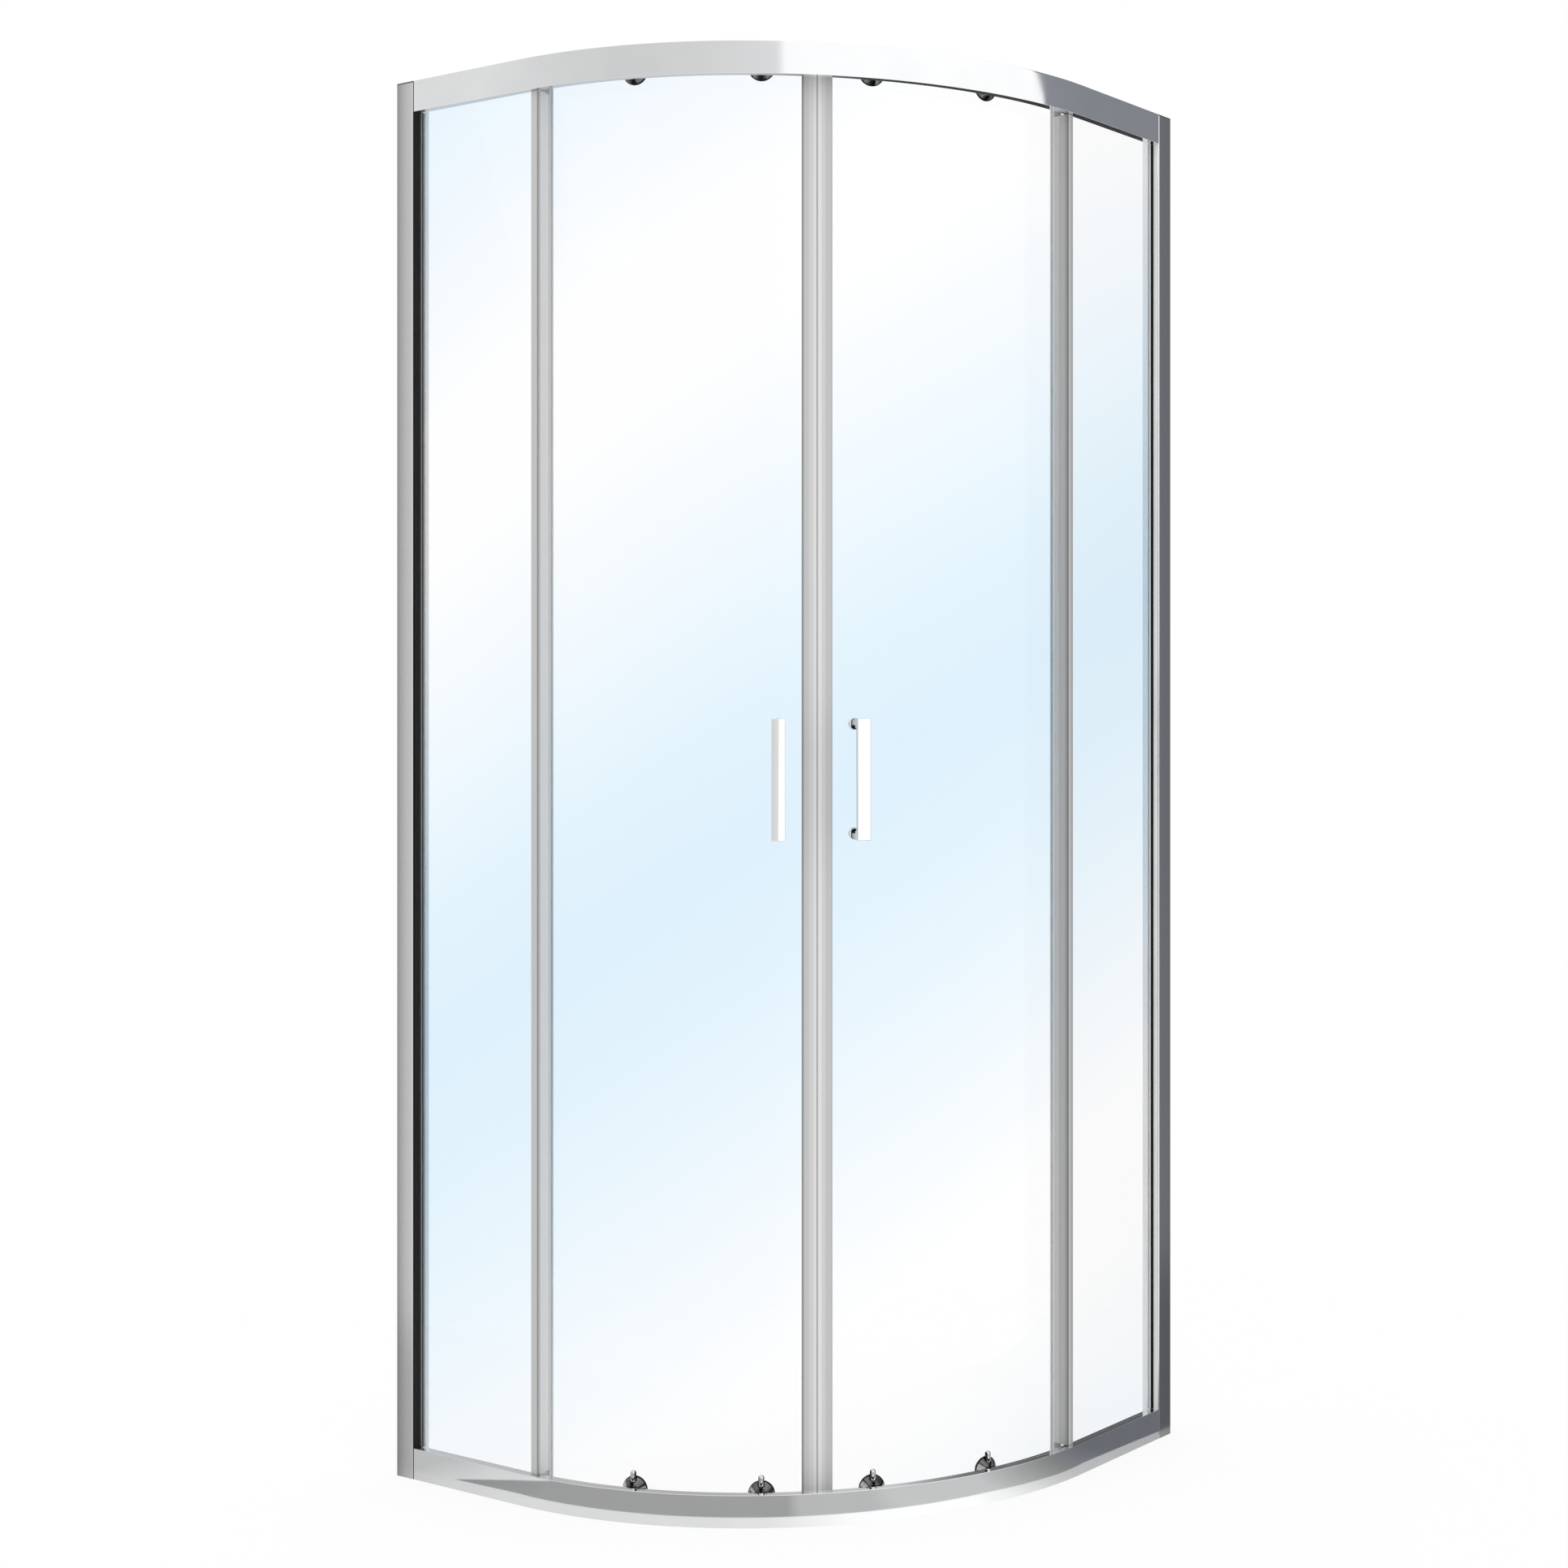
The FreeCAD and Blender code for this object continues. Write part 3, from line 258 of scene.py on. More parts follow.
def split_place(tree, coords):
    """The three parts of a place."""
    parts = tree.nodes.new("ShaderNodeSeparateXYZ")
    tree.links.new(coords, parts.inputs[0])
    return parts.outputs["X"], parts.outputs["Y"], parts.outputs["Z"]


print("made math_node, between and split_place")

# %% [markdown]
# ## Ramps and colours
# Most tones of this lesson change along a way: round the studio, along a rail or across a strip. A ramp
# node holds them as a short list of stops. Tones are easiest to judge as they look on a screen, from 0
# to 255, while nodes expect light, so one helper turns the first into the second by the screen's curve.

# %% Ramps and colours
def ramp_node(tree, value, stops):
    """Colour ramp through a list of (place, colour) stops."""
    ramp = tree.nodes.new("ShaderNodeValToRGB")
    elements = ramp.color_ramp.elements
    while len(elements) < len(stops):
        elements.new(1.0)
    for element, (place, colour) in zip(elements, stops):
        element.position = place
        element.color = (*colour, 1.0)
    tree.links.new(value, ramp.inputs["Fac"])
    return ramp.outputs["Color"]


def mix_colours(tree, share, first, second):
    """Blend of two colours by a share."""
    blend = tree.nodes.new("ShaderNodeMix")
    blend.data_type = "RGBA"
    colours = {socket.name: socket for socket in blend.inputs if socket.type == "RGBA"}
    tree.links.new(share, blend.inputs["Factor"])
    tree.links.new(first, colours["A"])
    tree.links.new(second, colours["B"])
    return next(socket for socket in blend.outputs if socket.type == "RGBA")


def tone(shade):
    """Light of a grey or colour that is written as on a screen, from 0 to 255."""
    channels = shade if isinstance(shade, tuple) else (shade, shade, shade)
    light = []
    for channel in channels:
        share = channel / 255
        light.append(share / 12.92 if share <= 0.04045 else ((share + 0.055) / 1.055) ** 2.4)
    return tuple(light)


print("a screen grey of 128 sends back", round(tone(128)[0], 3), "of the light")

# %% [markdown]
# ## What the metal mirrors
# Polished metal has hardly any colour of its own: it looks like metal because it mirrors light and dark
# things around it. In a photographer's studio these are grey cards. Ours are a wide drum of card round
# the set and a mat on the floor in front of the rail. Both show in mirrors only, so the picture's own
# background stays white.

# %% Cards that only mirrors see
MIRRORED_DEPTH = 0.5  # half way between no reflection and one


def show_in_mirrors(tree, output, colour, mask=1.0):
    """Wire a glow that is there for reflected rays, within a mask, and clear for all others."""
    path = tree.nodes.new("ShaderNodeLightPath")
    mirrored = math_node(tree, "GREATER_THAN", path.outputs["Glossy Depth"], MIRRORED_DEPTH)
    shown = math_node(tree, "MULTIPLY", mirrored, mask)
    clear = tree.nodes.new("ShaderNodeBsdfTransparent")
    glow = tree.nodes.new("ShaderNodeEmission")
    tree.links.new(colour, glow.inputs["Color"])
    card = mix_shaders(tree, shown, clear.outputs[0], glow.outputs[0])
    tree.links.new(card, output.inputs["Surface"])


def mirrors_only(card):
    """Keep a card out of the light that falls on matt surfaces."""
    card.visible_diffuse = False
    card.visible_shadow = False


print("cards glow for rays with more than", MIRRORED_DEPTH, "reflections behind them")

# %% [markdown]
# ## Tones of the drum
# The rails bend through a quarter circle, so each stretch mirrors another bearing of the studio. A
# photographer would move cards about until the metal looks right. Here the tones are listed by bearing, so a
# card is moved by changing a number. The underside of the top rail looks down at the back of the studio, so
# the low part there has tones of its own.

# %% Tones of the drum
DRUM_TONES = [
    (-180, 235), (-170, 235), (-169, 205), (-150, 205), (-135, 228), (-134, 222), (-100, 210),
    (-70, 216), (-51, 226), (-50, 262), (35.5, 262), (36.5, (138, 141, 148)), (76, (128, 131, 137)),
    (80, 90), (118, 95), (123, 110), (125, 205), (130, 190), (133, 175), (150, 215), (153, 235),
    (180, 235)]
DRUM_BACK_TONES = [
    (0, 258), (85, 258), (93, 45), (127, 50), (131, 205), (165, 225), (172, 235), (180, 235)]


def bearing_share(degrees):
    """Share of the way round the drum, from -180 to 180 degrees."""
    return (degrees + 180) / 360


def bearing_stops(tones):
    """Ramp stops for tones that are listed by bearing."""
    return [(bearing_share(degrees), tone(shade)) for degrees, shade in tones]


print(len(DRUM_TONES), "tones by bearing, and", len(DRUM_BACK_TONES), "low at the back")

# %% [markdown]
# ## Drum of card
# Single cards could stand round the set one by one, but gaps would show between them from other sides.
# One drum has no gaps. The edge of the grey card on the right leans a little, as its mirror image does
# in the top rail.

# %% Drum of card round the set
DRUM_RADIUS = 5.0
DRUM_LOW = -1.0
DRUM_HIGH = 6.0
DRUM_SIDES = 128
DRUM_BACK_START_DEG = 90
DRUM_BACK_TOP = 0.85
DRUM_SLANT_START = 3.036
DRUM_SLANT_HEIGHT = 0.12
DRUM_SLANT_DEG = 33.0


def drum_colour(tree):
    """Tones round the drum, with others low down at the back."""
    coords = tree.nodes.new("ShaderNodeTexCoord").outputs["Object"]
    across, along, height = split_place(tree, coords)
    bearing = math_node(tree, "ARCTAN2", along, across)
    share = math_node(tree, "MULTIPLY_ADD", bearing, 1 / (2 * math.pi), bearing_share(0))
    lift = math_node(tree, "SUBTRACT", height, DRUM_SLANT_START)
    lift = between(tree, lift, 0.0, DRUM_SLANT_HEIGHT)
    slant = math_node(tree, "MULTIPLY", lift, DRUM_SLANT_DEG / 360)
    leaning = math_node(tree, "GREATER_THAN", share, bearing_share(0))
    slanted = math_node(tree, "ADD", share, math_node(tree, "MULTIPLY", slant, leaning))
    tones = ramp_node(tree, slanted, bearing_stops(DRUM_TONES))
    back = ramp_node(tree, share, bearing_stops(DRUM_BACK_TONES))
    low = math_node(tree, "LESS_THAN", height, DRUM_BACK_TOP)
    behind = math_node(tree, "GREATER_THAN", share, bearing_share(DRUM_BACK_START_DEG))
    return mix_colours(tree, math_node(tree, "MULTIPLY", low, behind), tones, back)


def make_drum():
    """Ring of grey and white cards, one tone after another round the set."""
    bpy.ops.object.select_all(action="DESELECT")
    bpy.ops.mesh.primitive_cylinder_add(
        vertices=DRUM_SIDES, radius=DRUM_RADIUS, depth=DRUM_HIGH - DRUM_LOW, end_fill_type="NOTHING",
        location=(0, 0, (DRUM_HIGH + DRUM_LOW) / 2))
    drum = bpy.context.object
    drum.name = "mirror_drum"
    bpy.ops.object.transform_apply(location=True, rotation=False, scale=False)
    material, tree, output = new_tree("drum_cards")
    show_in_mirrors(tree, output, drum_colour(tree))
    drum.data.materials.append(material)
    mirrors_only(drum)


make_drum()
print("drum of radius", DRUM_RADIUS, "m, from", DRUM_LOW, "to", DRUM_HIGH, "m")

# %% [markdown]
# ## Places round the curve
# The mat and several finishes follow the enclosure's own shape: along one straight, round the bend and
# along the other straight. A picture laid on the pieces could follow it too, but each piece would have to
# be unwrapped for it. These nodes work the places out from Object coordinates, and serve all pieces.

# %% Places round the curve
CURVE_RADIUS = 0.55
STRAIGHT = 0.24
rail_low, rail_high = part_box("bottom_rail")
curve_middle = Vector((rail_high.x - CURVE_RADIUS, rail_low.y + CURVE_RADIUS, 0))


def round_curve(tree, coords):
    """Run from the nearer wall, distance from the curve's axis, angle round it, and height."""
    across, along, height = split_place(tree, coords)
    right = math_node(tree, "SUBTRACT", across, curve_middle.x)
    front = math_node(tree, "SUBTRACT", curve_middle.y, along)
    run = math_node(tree, "ADD", math_node(tree, "MINIMUM", right, front), STRAIGHT)
    right_of_bend = math_node(tree, "MAXIMUM", right, 0.0)
    front_of_bend = math_node(tree, "MAXIMUM", front, 0.0)
    squares = math_node(tree, "ADD", math_node(tree, "POWER", right_of_bend, 2),
                        math_node(tree, "POWER", front_of_bend, 2))
    radius = math_node(tree, "SQRT", squares)
    angle = math_node(tree, "ARCTAN2", right_of_bend, front_of_bend)
    return {"right": right, "front": front, "run": run, "radius": radius, "angle": angle, "height": height}


def span_share(tree, value, start, length):
    """Share of a way that starts at one place and has a length."""
    return math_node(tree, "DIVIDE", math_node(tree, "SUBTRACT", value, start), length)


print("middle of the curve", [round(side, 4) for side in curve_middle])

# %% [markdown]
# ## Tones of the mat
# The upright face of the bottom rail mirrors the floor just in front of it: a pale band along its foot and
# a darker face above. Paint on the rail would keep these tones from every side and look printed. So they
# lie on the floor as a mat, and are listed in metres along the rail.

# %% Tones of the mat
MAT_RUN = 2 * STRAIGHT + CURVE_RADIUS * math.pi / 2
MAT_NEAR_TONES = [
    (0.00, 200), (0.10, 216), (0.24, 224), (0.45, 226), (0.60, 234), (0.68, 252), (0.72, 262),
    (0.90, 262), (0.96, 250), (1.04, 214), (1.10, 196), (1.20, 186), (1.344, 174)]
MAT_FAR_TONES = [
    (0.00, 149), (0.099, 149), (0.25, 162), (0.63, 163), (0.65, 189), (0.76, 190), (0.80, 202),
    (0.955, 202), (1.00, 182), (1.06, 156), (1.11, 136), (1.16, (121, 124, 130)),
    (1.22, (107, 110, 116)), (1.344, (107, 110, 116))]
MAT_END_TONES = [(0.00, 193), (0.095, 217), (0.20, 228), (0.60, 230)]


def run_stops(tones):
    """Ramp stops for tones that are listed in metres along the rail."""
    return [(run / MAT_RUN, tone(shade)) for run, shade in tones]


print("tones along", round(MAT_RUN, 3), "m of rail")

# %% [markdown]
# ## Mat in front of the bottom rail
# The mat has a near band, a far band and a pale end to the far band. Three sheets would need outlines
# that follow the bend. One sheet needs none: its bands end at distances from the rail, which change
# along the rail's run.

# %% Mat in front of the bottom rail
MAT_SIZE = 3.0
MAT_LIFT = 0.0001
MAT_REACH = 0.60
MAT_NEAR_SIDE = 0.029
MAT_NEAR_MIDDLE = 0.045
MAT_END_START = -0.017
MAT_END_SLOPE = 0.62
MAT_CUT_START = 0.70
MAT_CUT_LENGTH = 0.10
MAT_CUT_DEPTH = 0.0095


def mat_colour(tree, place, reach):
    """Tones of the near band, the far band and its pale end."""
    bend = math_node(tree, "MULTIPLY", place["angle"], CURVE_RADIUS)
    before = math_node(tree, "MINIMUM", place["right"], 0.0)
    after = math_node(tree, "MINIMUM", place["front"], 0.0)
    along = math_node(tree, "SUBTRACT", math_node(tree, "ADD", bend, before), after)
    share = math_node(tree, "DIVIDE", math_node(tree, "ADD", along, STRAIGHT), MAT_RUN)
    # A share times its rest is a quarter at the middle of the run
    bulge = math_node(tree, "MULTIPLY", share, math_node(tree, "SUBTRACT", 1.0, share))
    near_end = math_node(tree, "MULTIPLY_ADD", bulge, 4 * (MAT_NEAR_MIDDLE - MAT_NEAR_SIDE), MAT_NEAR_SIDE)
    cut = between(tree, span_share(tree, share, MAT_CUT_START, MAT_CUT_LENGTH), 0.0, 1.0)
    near_end = math_node(tree, "SUBTRACT", near_end, math_node(tree, "MULTIPLY", cut, MAT_CUT_DEPTH))
    far_end = math_node(tree, "MULTIPLY_ADD", share, MAT_END_SLOPE * MAT_RUN, MAT_END_START)
    near, far, end = [ramp_node(tree, share, run_stops(tones))
                      for tones in (MAT_NEAR_TONES, MAT_FAR_TONES, MAT_END_TONES)]
    far = mix_colours(tree, math_node(tree, "GREATER_THAN", reach, far_end), far, end)
    return mix_colours(tree, math_node(tree, "GREATER_THAN", reach, near_end), near, far)


def make_mat():
    """Sheet on the floor that gives the bottom rail a pale foot and a darker face."""
    bpy.ops.object.select_all(action="DESELECT")
    bpy.ops.mesh.primitive_plane_add(size=MAT_SIZE, location=(0, 0, MAT_LIFT))
    mat = bpy.context.object
    mat.name = "mirror_mat"
    bpy.ops.object.transform_apply(location=True, rotation=False, scale=False)
    material, tree, output = new_tree("mat_cards")
    place = round_curve(tree, tree.nodes.new("ShaderNodeTexCoord").outputs["Object"])
    reach = math_node(tree, "SUBTRACT", place["radius"], CURVE_RADIUS)
    on_mat = math_node(tree, "LESS_THAN", reach, MAT_REACH)
    show_in_mirrors(tree, output, mat_colour(tree, place, reach), on_mat)
    mat.data.materials.append(material)
    mirrors_only(mat)


make_mat()
print("mat along", round(MAT_RUN, 3), "m of rail,", MAT_REACH, "m wide")

# %% [markdown]
# ## Modelling helpers
# Every new piece starts from a primitive and is shaped in edit mode. By hand one would click on an edge
# or a face; in code we select it by the place of its middle. A section drawn in this way can then be
# extruded along a straight or spun round the curve, as a mill bends a drawn bar.

# %% Select, extrude and spin
NEAR = 1e-5


def pick(kind, test):
    """Select the edges or faces whose middle passes a test, and nothing else."""
    bpy.context.tool_settings.mesh_select_mode = (False, kind == "edges", kind == "faces")
    mesh = bmesh.from_edit_mesh(bpy.context.object.data)
    for group in (mesh.verts, mesh.edges, mesh.faces):
        for item in group:
            item.select = False
    for item in getattr(mesh, kind):
        corners = [vertex.co for vertex in item.verts]
        item.select = test(sum(corners, Vector()) / len(corners))
    mesh.select_flush_mode()
    bmesh.update_edit_mesh(bpy.context.object.data)


def extrude(move):
    """Extrude what is selected by a move."""
    bpy.ops.mesh.extrude_region_move(TRANSFORM_OT_translate={"value": move})


def add_section(place, height, depth, turn=0.0):
    """Upright rectangle across the run of a rail or pane, and edit mode on it."""
    bpy.ops.object.select_all(action="DESELECT")
    bpy.ops.mesh.primitive_plane_add(size=1.0, location=place, rotation=(0, math.radians(90), turn))
    piece = bpy.context.object
    piece.scale = (height, depth, 1.0)
    bpy.ops.object.transform_apply(location=True, rotation=True, scale=True)
    bpy.ops.object.mode_set(mode="EDIT")
    return piece


def sweep_round(angle, steps):
    """Carry the selected end faces round the middle of the curve."""
    middle = (curve_middle.x, curve_middle.y, 0)
    bpy.ops.mesh.spin(steps=steps, angle=-angle, center=middle, axis=(0, 0, 1))


def close_mesh():
    """Merge doubles, turn all faces outwards and go back to object mode."""
    bpy.ops.mesh.select_all(action="SELECT")
    bpy.ops.mesh.remove_doubles(threshold=NEAR)
    bpy.ops.mesh.normals_make_consistent(inside=False)
    bpy.ops.object.mode_set(mode="OBJECT")


print("places closer than", NEAR, "m count as one")

# %% [markdown]
# ## Shading helpers
# A rounded edge on a flat face makes Blender bend the shading of the whole face, which shows at once in
# a mirror. More faces would help a little. It is simpler to shade by angle and let the large faces rule,
# which the Weighted Normal modifier does. Mirrored copies are turned inside out, so their normals are
# recalculated.

# %% Modifiers, shading and copies
def apply_modifier(piece, kind, **settings):
    """Add a modifier, set it and apply it at once."""
    modifier = piece.modifiers.new(kind.lower(), kind)
    for name, value in settings.items():
        setattr(modifier, name, value)
    bpy.context.view_layer.objects.active = piece
    bpy.ops.object.modifier_apply(modifier=modifier.name)


def select_only(piece):
    """Make a piece the one that is selected and active."""
    bpy.ops.object.select_all(action="DESELECT")
    piece.select_set(True)
    bpy.context.view_layer.objects.active = piece


def smooth_shade(piece, degrees):
    """Shade a piece smooth, with its sharp edges kept."""
    select_only(piece)
    bpy.ops.object.shade_smooth_by_angle(angle=math.radians(degrees))


def flatten_shading(piece):
    """Let the large faces rule the shading, so that flat faces stay flat up to their rounded edges."""
    apply_modifier(piece, "WEIGHTED_NORMAL", keep_sharp=True, weight=100)


def copy_of(piece, name):
    """Copy of a piece with its own mesh, selected and active."""
    select_only(piece)
    bpy.ops.object.duplicate(linked=False)
    twin = bpy.context.object
    twin.name = name
    return twin


def turn_normals_out(piece):
    """Point the faces of a mirrored copy outwards again."""
    bpy.context.view_layer.objects.active = piece
    bpy.ops.object.mode_set(mode="EDIT")
    bpy.ops.mesh.select_all(action="SELECT")
    bpy.ops.mesh.normals_make_consistent(inside=False)
    bpy.ops.object.mode_set(mode="OBJECT")


flat_nodes = [node for node, piece in nodes.items()
              if not any(face.use_smooth for face in piece.data.polygons)]
print(len(flat_nodes), "of", len(nodes), "nodes are still shaded flat")

# %% [markdown]
# ## Section of the rails
# Each rail is one bent extrusion: a flat box in front, a slot for the fixed glass behind it, and a fin with
# a hooked track for the wheels. The section could be one face through a list of corners, each worked out by
# hand. Drawn edge by edge, as on paper, each step is one wall with its own size.

# %% Section of the rails
RAIL_BOX_DEPTH = 0.010
SLOT_WIDTH = 0.0065
SLOT_FLOOR = 0.0025
FIN_WALL = 0.0015
FIN_SETBACK = 0.0027
TRACK_LIP_REACH = 0.004
TRACK_LIP_WALL = 0.002
TRACK_RIB_WIDTH = 0.0015
TRACK_RIB_HEIGHT = 0.0025


def draw_rail_section():
    """Section of the bottom rail, drawn at the left end in edit mode."""
    face = rail_low.y
    height = rail_high.z - rail_low.z
    slot = face + RAIL_BOX_DEPTH
    fin = slot + SLOT_WIDTH
    fin_back = fin + FIN_WALL
    lip_top = height - FIN_SETBACK
    lip_low = lip_top - TRACK_LIP_WALL
    lip_mid = (lip_top + lip_low) / 2
    rib = fin_back + TRACK_LIP_REACH - TRACK_RIB_WIDTH
    foot_mid = SLOT_FLOOR / 2
    rail = add_section((rail_low.x, (face + slot) / 2, foot_mid), SLOT_FLOOR, RAIL_BOX_DEPTH)
    steps = [
        (((face + slot) / 2, SLOT_FLOOR), (0, 0, height - SLOT_FLOOR)),
        ((slot, foot_mid), (0, SLOT_WIDTH, 0)),
        ((fin, foot_mid), (0, FIN_WALL, 0)),
        (((fin + fin_back) / 2, SLOT_FLOOR), (0, 0, lip_low - SLOT_FLOOR)),
        (((fin + fin_back) / 2, lip_low), (0, 0, TRACK_LIP_WALL)),
        ((fin_back, lip_mid), (0, rib - fin_back, 0)),
        ((rib, lip_mid), (0, TRACK_RIB_WIDTH, 0)),
        ((rib + TRACK_RIB_WIDTH / 2, lip_low), (0, 0, -TRACK_RIB_HEIGHT)),
    ]
    for (across, level), move in steps:
        pick("edges", lambda middle: abs(middle.y - across) < NEAR and abs(middle.z - level) < NEAR)
        extrude(move)
    return rail


print("section", round(rail_high.z - rail_low.z, 4), "m high")

# %% [markdown]
# ## Bottom rail
# A bevelled curve could carry the section round the bend, but its edges would then need work of their
# own. So the section is pulled along the straight, spun round the quarter circle and pulled along the
# other straight. A mirror-polished face shows every kink, so the curve gets many steps and the edges a
# small bevel.

# %% Bottom rail
RAIL_STEPS = 96
RAIL_BEVEL = 0.0006
RAIL_BEVEL_SEGMENTS = 3
RAIL_BEVEL_ANGLE_DEG = 40
RAIL_SMOOTH_DEG = 35


def make_bottom_rail():
    """Bottom rail, pulled and spun from its section."""
    rail = draw_rail_section()
    pick("faces", lambda middle: True)
    extrude((curve_middle.x - rail_low.x, 0, 0))
    pick("faces", lambda middle: abs(middle.x - curve_middle.x) < NEAR)
    sweep_round(math.radians(90), RAIL_STEPS)
    pick("faces", lambda middle: abs(middle.y - curve_middle.y) < NEAR)
    extrude((0, rail_high.y - curve_middle.y, 0))
    close_mesh()
    apply_modifier(rail, "BEVEL", width=RAIL_BEVEL, segments=RAIL_BEVEL_SEGMENTS, limit_method="ANGLE",
                   angle_limit=math.radians(RAIL_BEVEL_ANGLE_DEG))
    smooth_shade(rail, RAIL_SMOOTH_DEG)
    return rail


bottom_rail = make_bottom_rail()
bottom_rail.name = "smooth_bottom_rail"
print("bottom rail", len(bottom_rail.data.polygons), "faces")

# %% [markdown]
# ## Top rail
# Both rails have the same section, and the upper one is turned over. It could be drawn again from its own
# list of edges. A copy that is mirrored top to bottom by a negative scale and lifted to its height is
# shorter, and the two rails stay alike when a size changes.

# %% Top rail
top_rail = copy_of(bottom_rail, "smooth_top_rail")
top_rail.scale = (1, 1, -1)
top_rail.location = (0, 0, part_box("top_rail")[1].z)
bpy.ops.object.transform_apply(location=True, rotation=False, scale=True)
turn_normals_out(top_rail)
for rail in (bottom_rail, top_rail):
    flatten_shading(rail)
for rail, node in ((bottom_rail, "bottom_rail"), (top_rail, "top_rail")):
    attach(rail, "frame")
    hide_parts(node)
print("top rail", len(top_rail.data.polygons), "faces")

# %% [markdown]
# ## Holes of a door
# Rollers and handle are screwed to the glass through round holes, which are drilled before the glass is
# hardened. They could be left out, since hubs and feet cover them, but the screws would then run through
# solid glass. A cylinder cuts each hole with the Boolean modifier, square to the curve.

# %% Holes of a door
PANE_OUTER = 0.514
PANE_THICKNESS = 0.005
HOLE_RADIUS = 0.006
HOLE_SIDES = 32
DRILL_LENGTH = 4 * PANE_THICKNESS
ROLLER_ANGLES_DEG = (17.6, 36.8)
HANDLE_ANGLE_DEG = 39.3
BOTTOM_HUB_HEIGHT = 0.0345
HANDLE_FOOT_HEIGHT = 0.014
top_hub_low, top_hub_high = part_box("top_hubs_left")
handle_low, handle_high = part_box("handle_left")
hub_heights = (BOTTOM_HUB_HEIGHT, (top_hub_low.z + top_hub_high.z) / 2)
foot_heights = (handle_low.z + HANDLE_FOOT_HEIGHT / 2, handle_high.z - HANDLE_FOOT_HEIGHT / 2)
pane_holes = [(degrees, height) for degrees in ROLLER_ANGLES_DEG for height in hub_heights]
pane_holes += [(HANDLE_ANGLE_DEG, height) for height in foot_heights]


def on_curve(degrees, radius, height):
    """Point at an angle round the curve from the left straight, at a radius and height."""
    angle = math.radians(degrees)
    return curve_middle + Vector((radius * math.sin(angle), -radius * math.cos(angle), height))


def drill(piece, degrees, height):
    """Cut one round hole through the pane, square to the curve."""
    bpy.ops.object.select_all(action="DESELECT")
    turn = (math.radians(90), 0, math.radians(degrees))
    bpy.ops.mesh.primitive_cylinder_add(
        vertices=HOLE_SIDES, radius=HOLE_RADIUS, depth=DRILL_LENGTH, rotation=turn,
        location=on_curve(degrees, PANE_OUTER - PANE_THICKNESS / 2, height))
    cutter = bpy.context.object
    apply_modifier(piece, "BOOLEAN", object=cutter, operation="DIFFERENCE", solver="EXACT")
    bpy.data.objects.remove(cutter)


print(len(pane_holes), "holes in each door")

# %% [markdown]
# ## Left door pane
# The doors are bent safety glass. A bent plane with the Solidify modifier would do, but a section spun
# about the middle of the curve has its true thickness and square ends from the start.

# %% Left door pane
PANE_STEPS = 64
PANE_SMOOTH_DEG = 30


def make_left_pane(holes):
    """Left door pane between the edges of its solid."""
    low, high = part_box("door_glass_left")
    inner = PANE_OUTER - PANE_THICKNESS
    start = math.degrees(math.asin((low.x - curve_middle.x) / inner))
    end = math.degrees(math.acos((curve_middle.y - high.y) / inner))
    place = on_curve(start, PANE_OUTER - PANE_THICKNESS / 2, (low.z + high.z) / 2)
    pane = add_section(place, high.z - low.z, PANE_THICKNESS, math.radians(start))
    bpy.ops.mesh.select_all(action="SELECT")
    sweep_round(math.radians(end - start), PANE_STEPS)
    close_mesh()
    for degrees, height in holes:
        drill(pane, degrees, height)
    smooth_shade(pane, PANE_SMOOTH_DEG)
    return pane


left_pane = make_left_pane(pane_holes)
left_pane.name = "curved_pane_left"
print("left pane", len(left_pane.data.polygons), "faces")

# %% [markdown]
# ## Right door pane
# The two doors are mirror twins about the upright plane through the seam. The right one could be spun
# again from the other end. A mirrored copy brings its holes along, so both doors stay alike.

# %% Right door pane
def mirrored_right(piece, name):
    """Copy of a left piece on the right side, mirrored in the upright plane through the seam."""
    twin = copy_of(piece, name)
    twin.scale = (1, -1, 1)
    twin.rotation_euler = (0, 0, math.radians(-90))
    bpy.ops.object.transform_apply(location=False, rotation=True, scale=True)
    turn_normals_out(twin)
    return twin


right_pane = mirrored_right(left_pane, "curved_pane_right")
smooth_shade(right_pane, PANE_SMOOTH_DEG)
for side, pane in (("left", left_pane), ("right", right_pane)):
    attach(pane, side + "_door")
    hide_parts("door_glass_" + side)
print("right pane", len(right_pane.data.polygons), "faces")

# %% [markdown]
# ## Return springs
# Inside each bottom roller a coil spring pushes the button up again. A round curve with a bevel could be
# the coil. The Screw modifier needs less: a small ring of wire beside the axis, a pitch and a number of
# turns.

# %% Coil springs
WIRE_RADIUS = 0.0005
WIRE_SIDES = 10
COIL_TURNS = 6
COIL_STEPS = 24
COIL_SMOOTH_DEG = 50


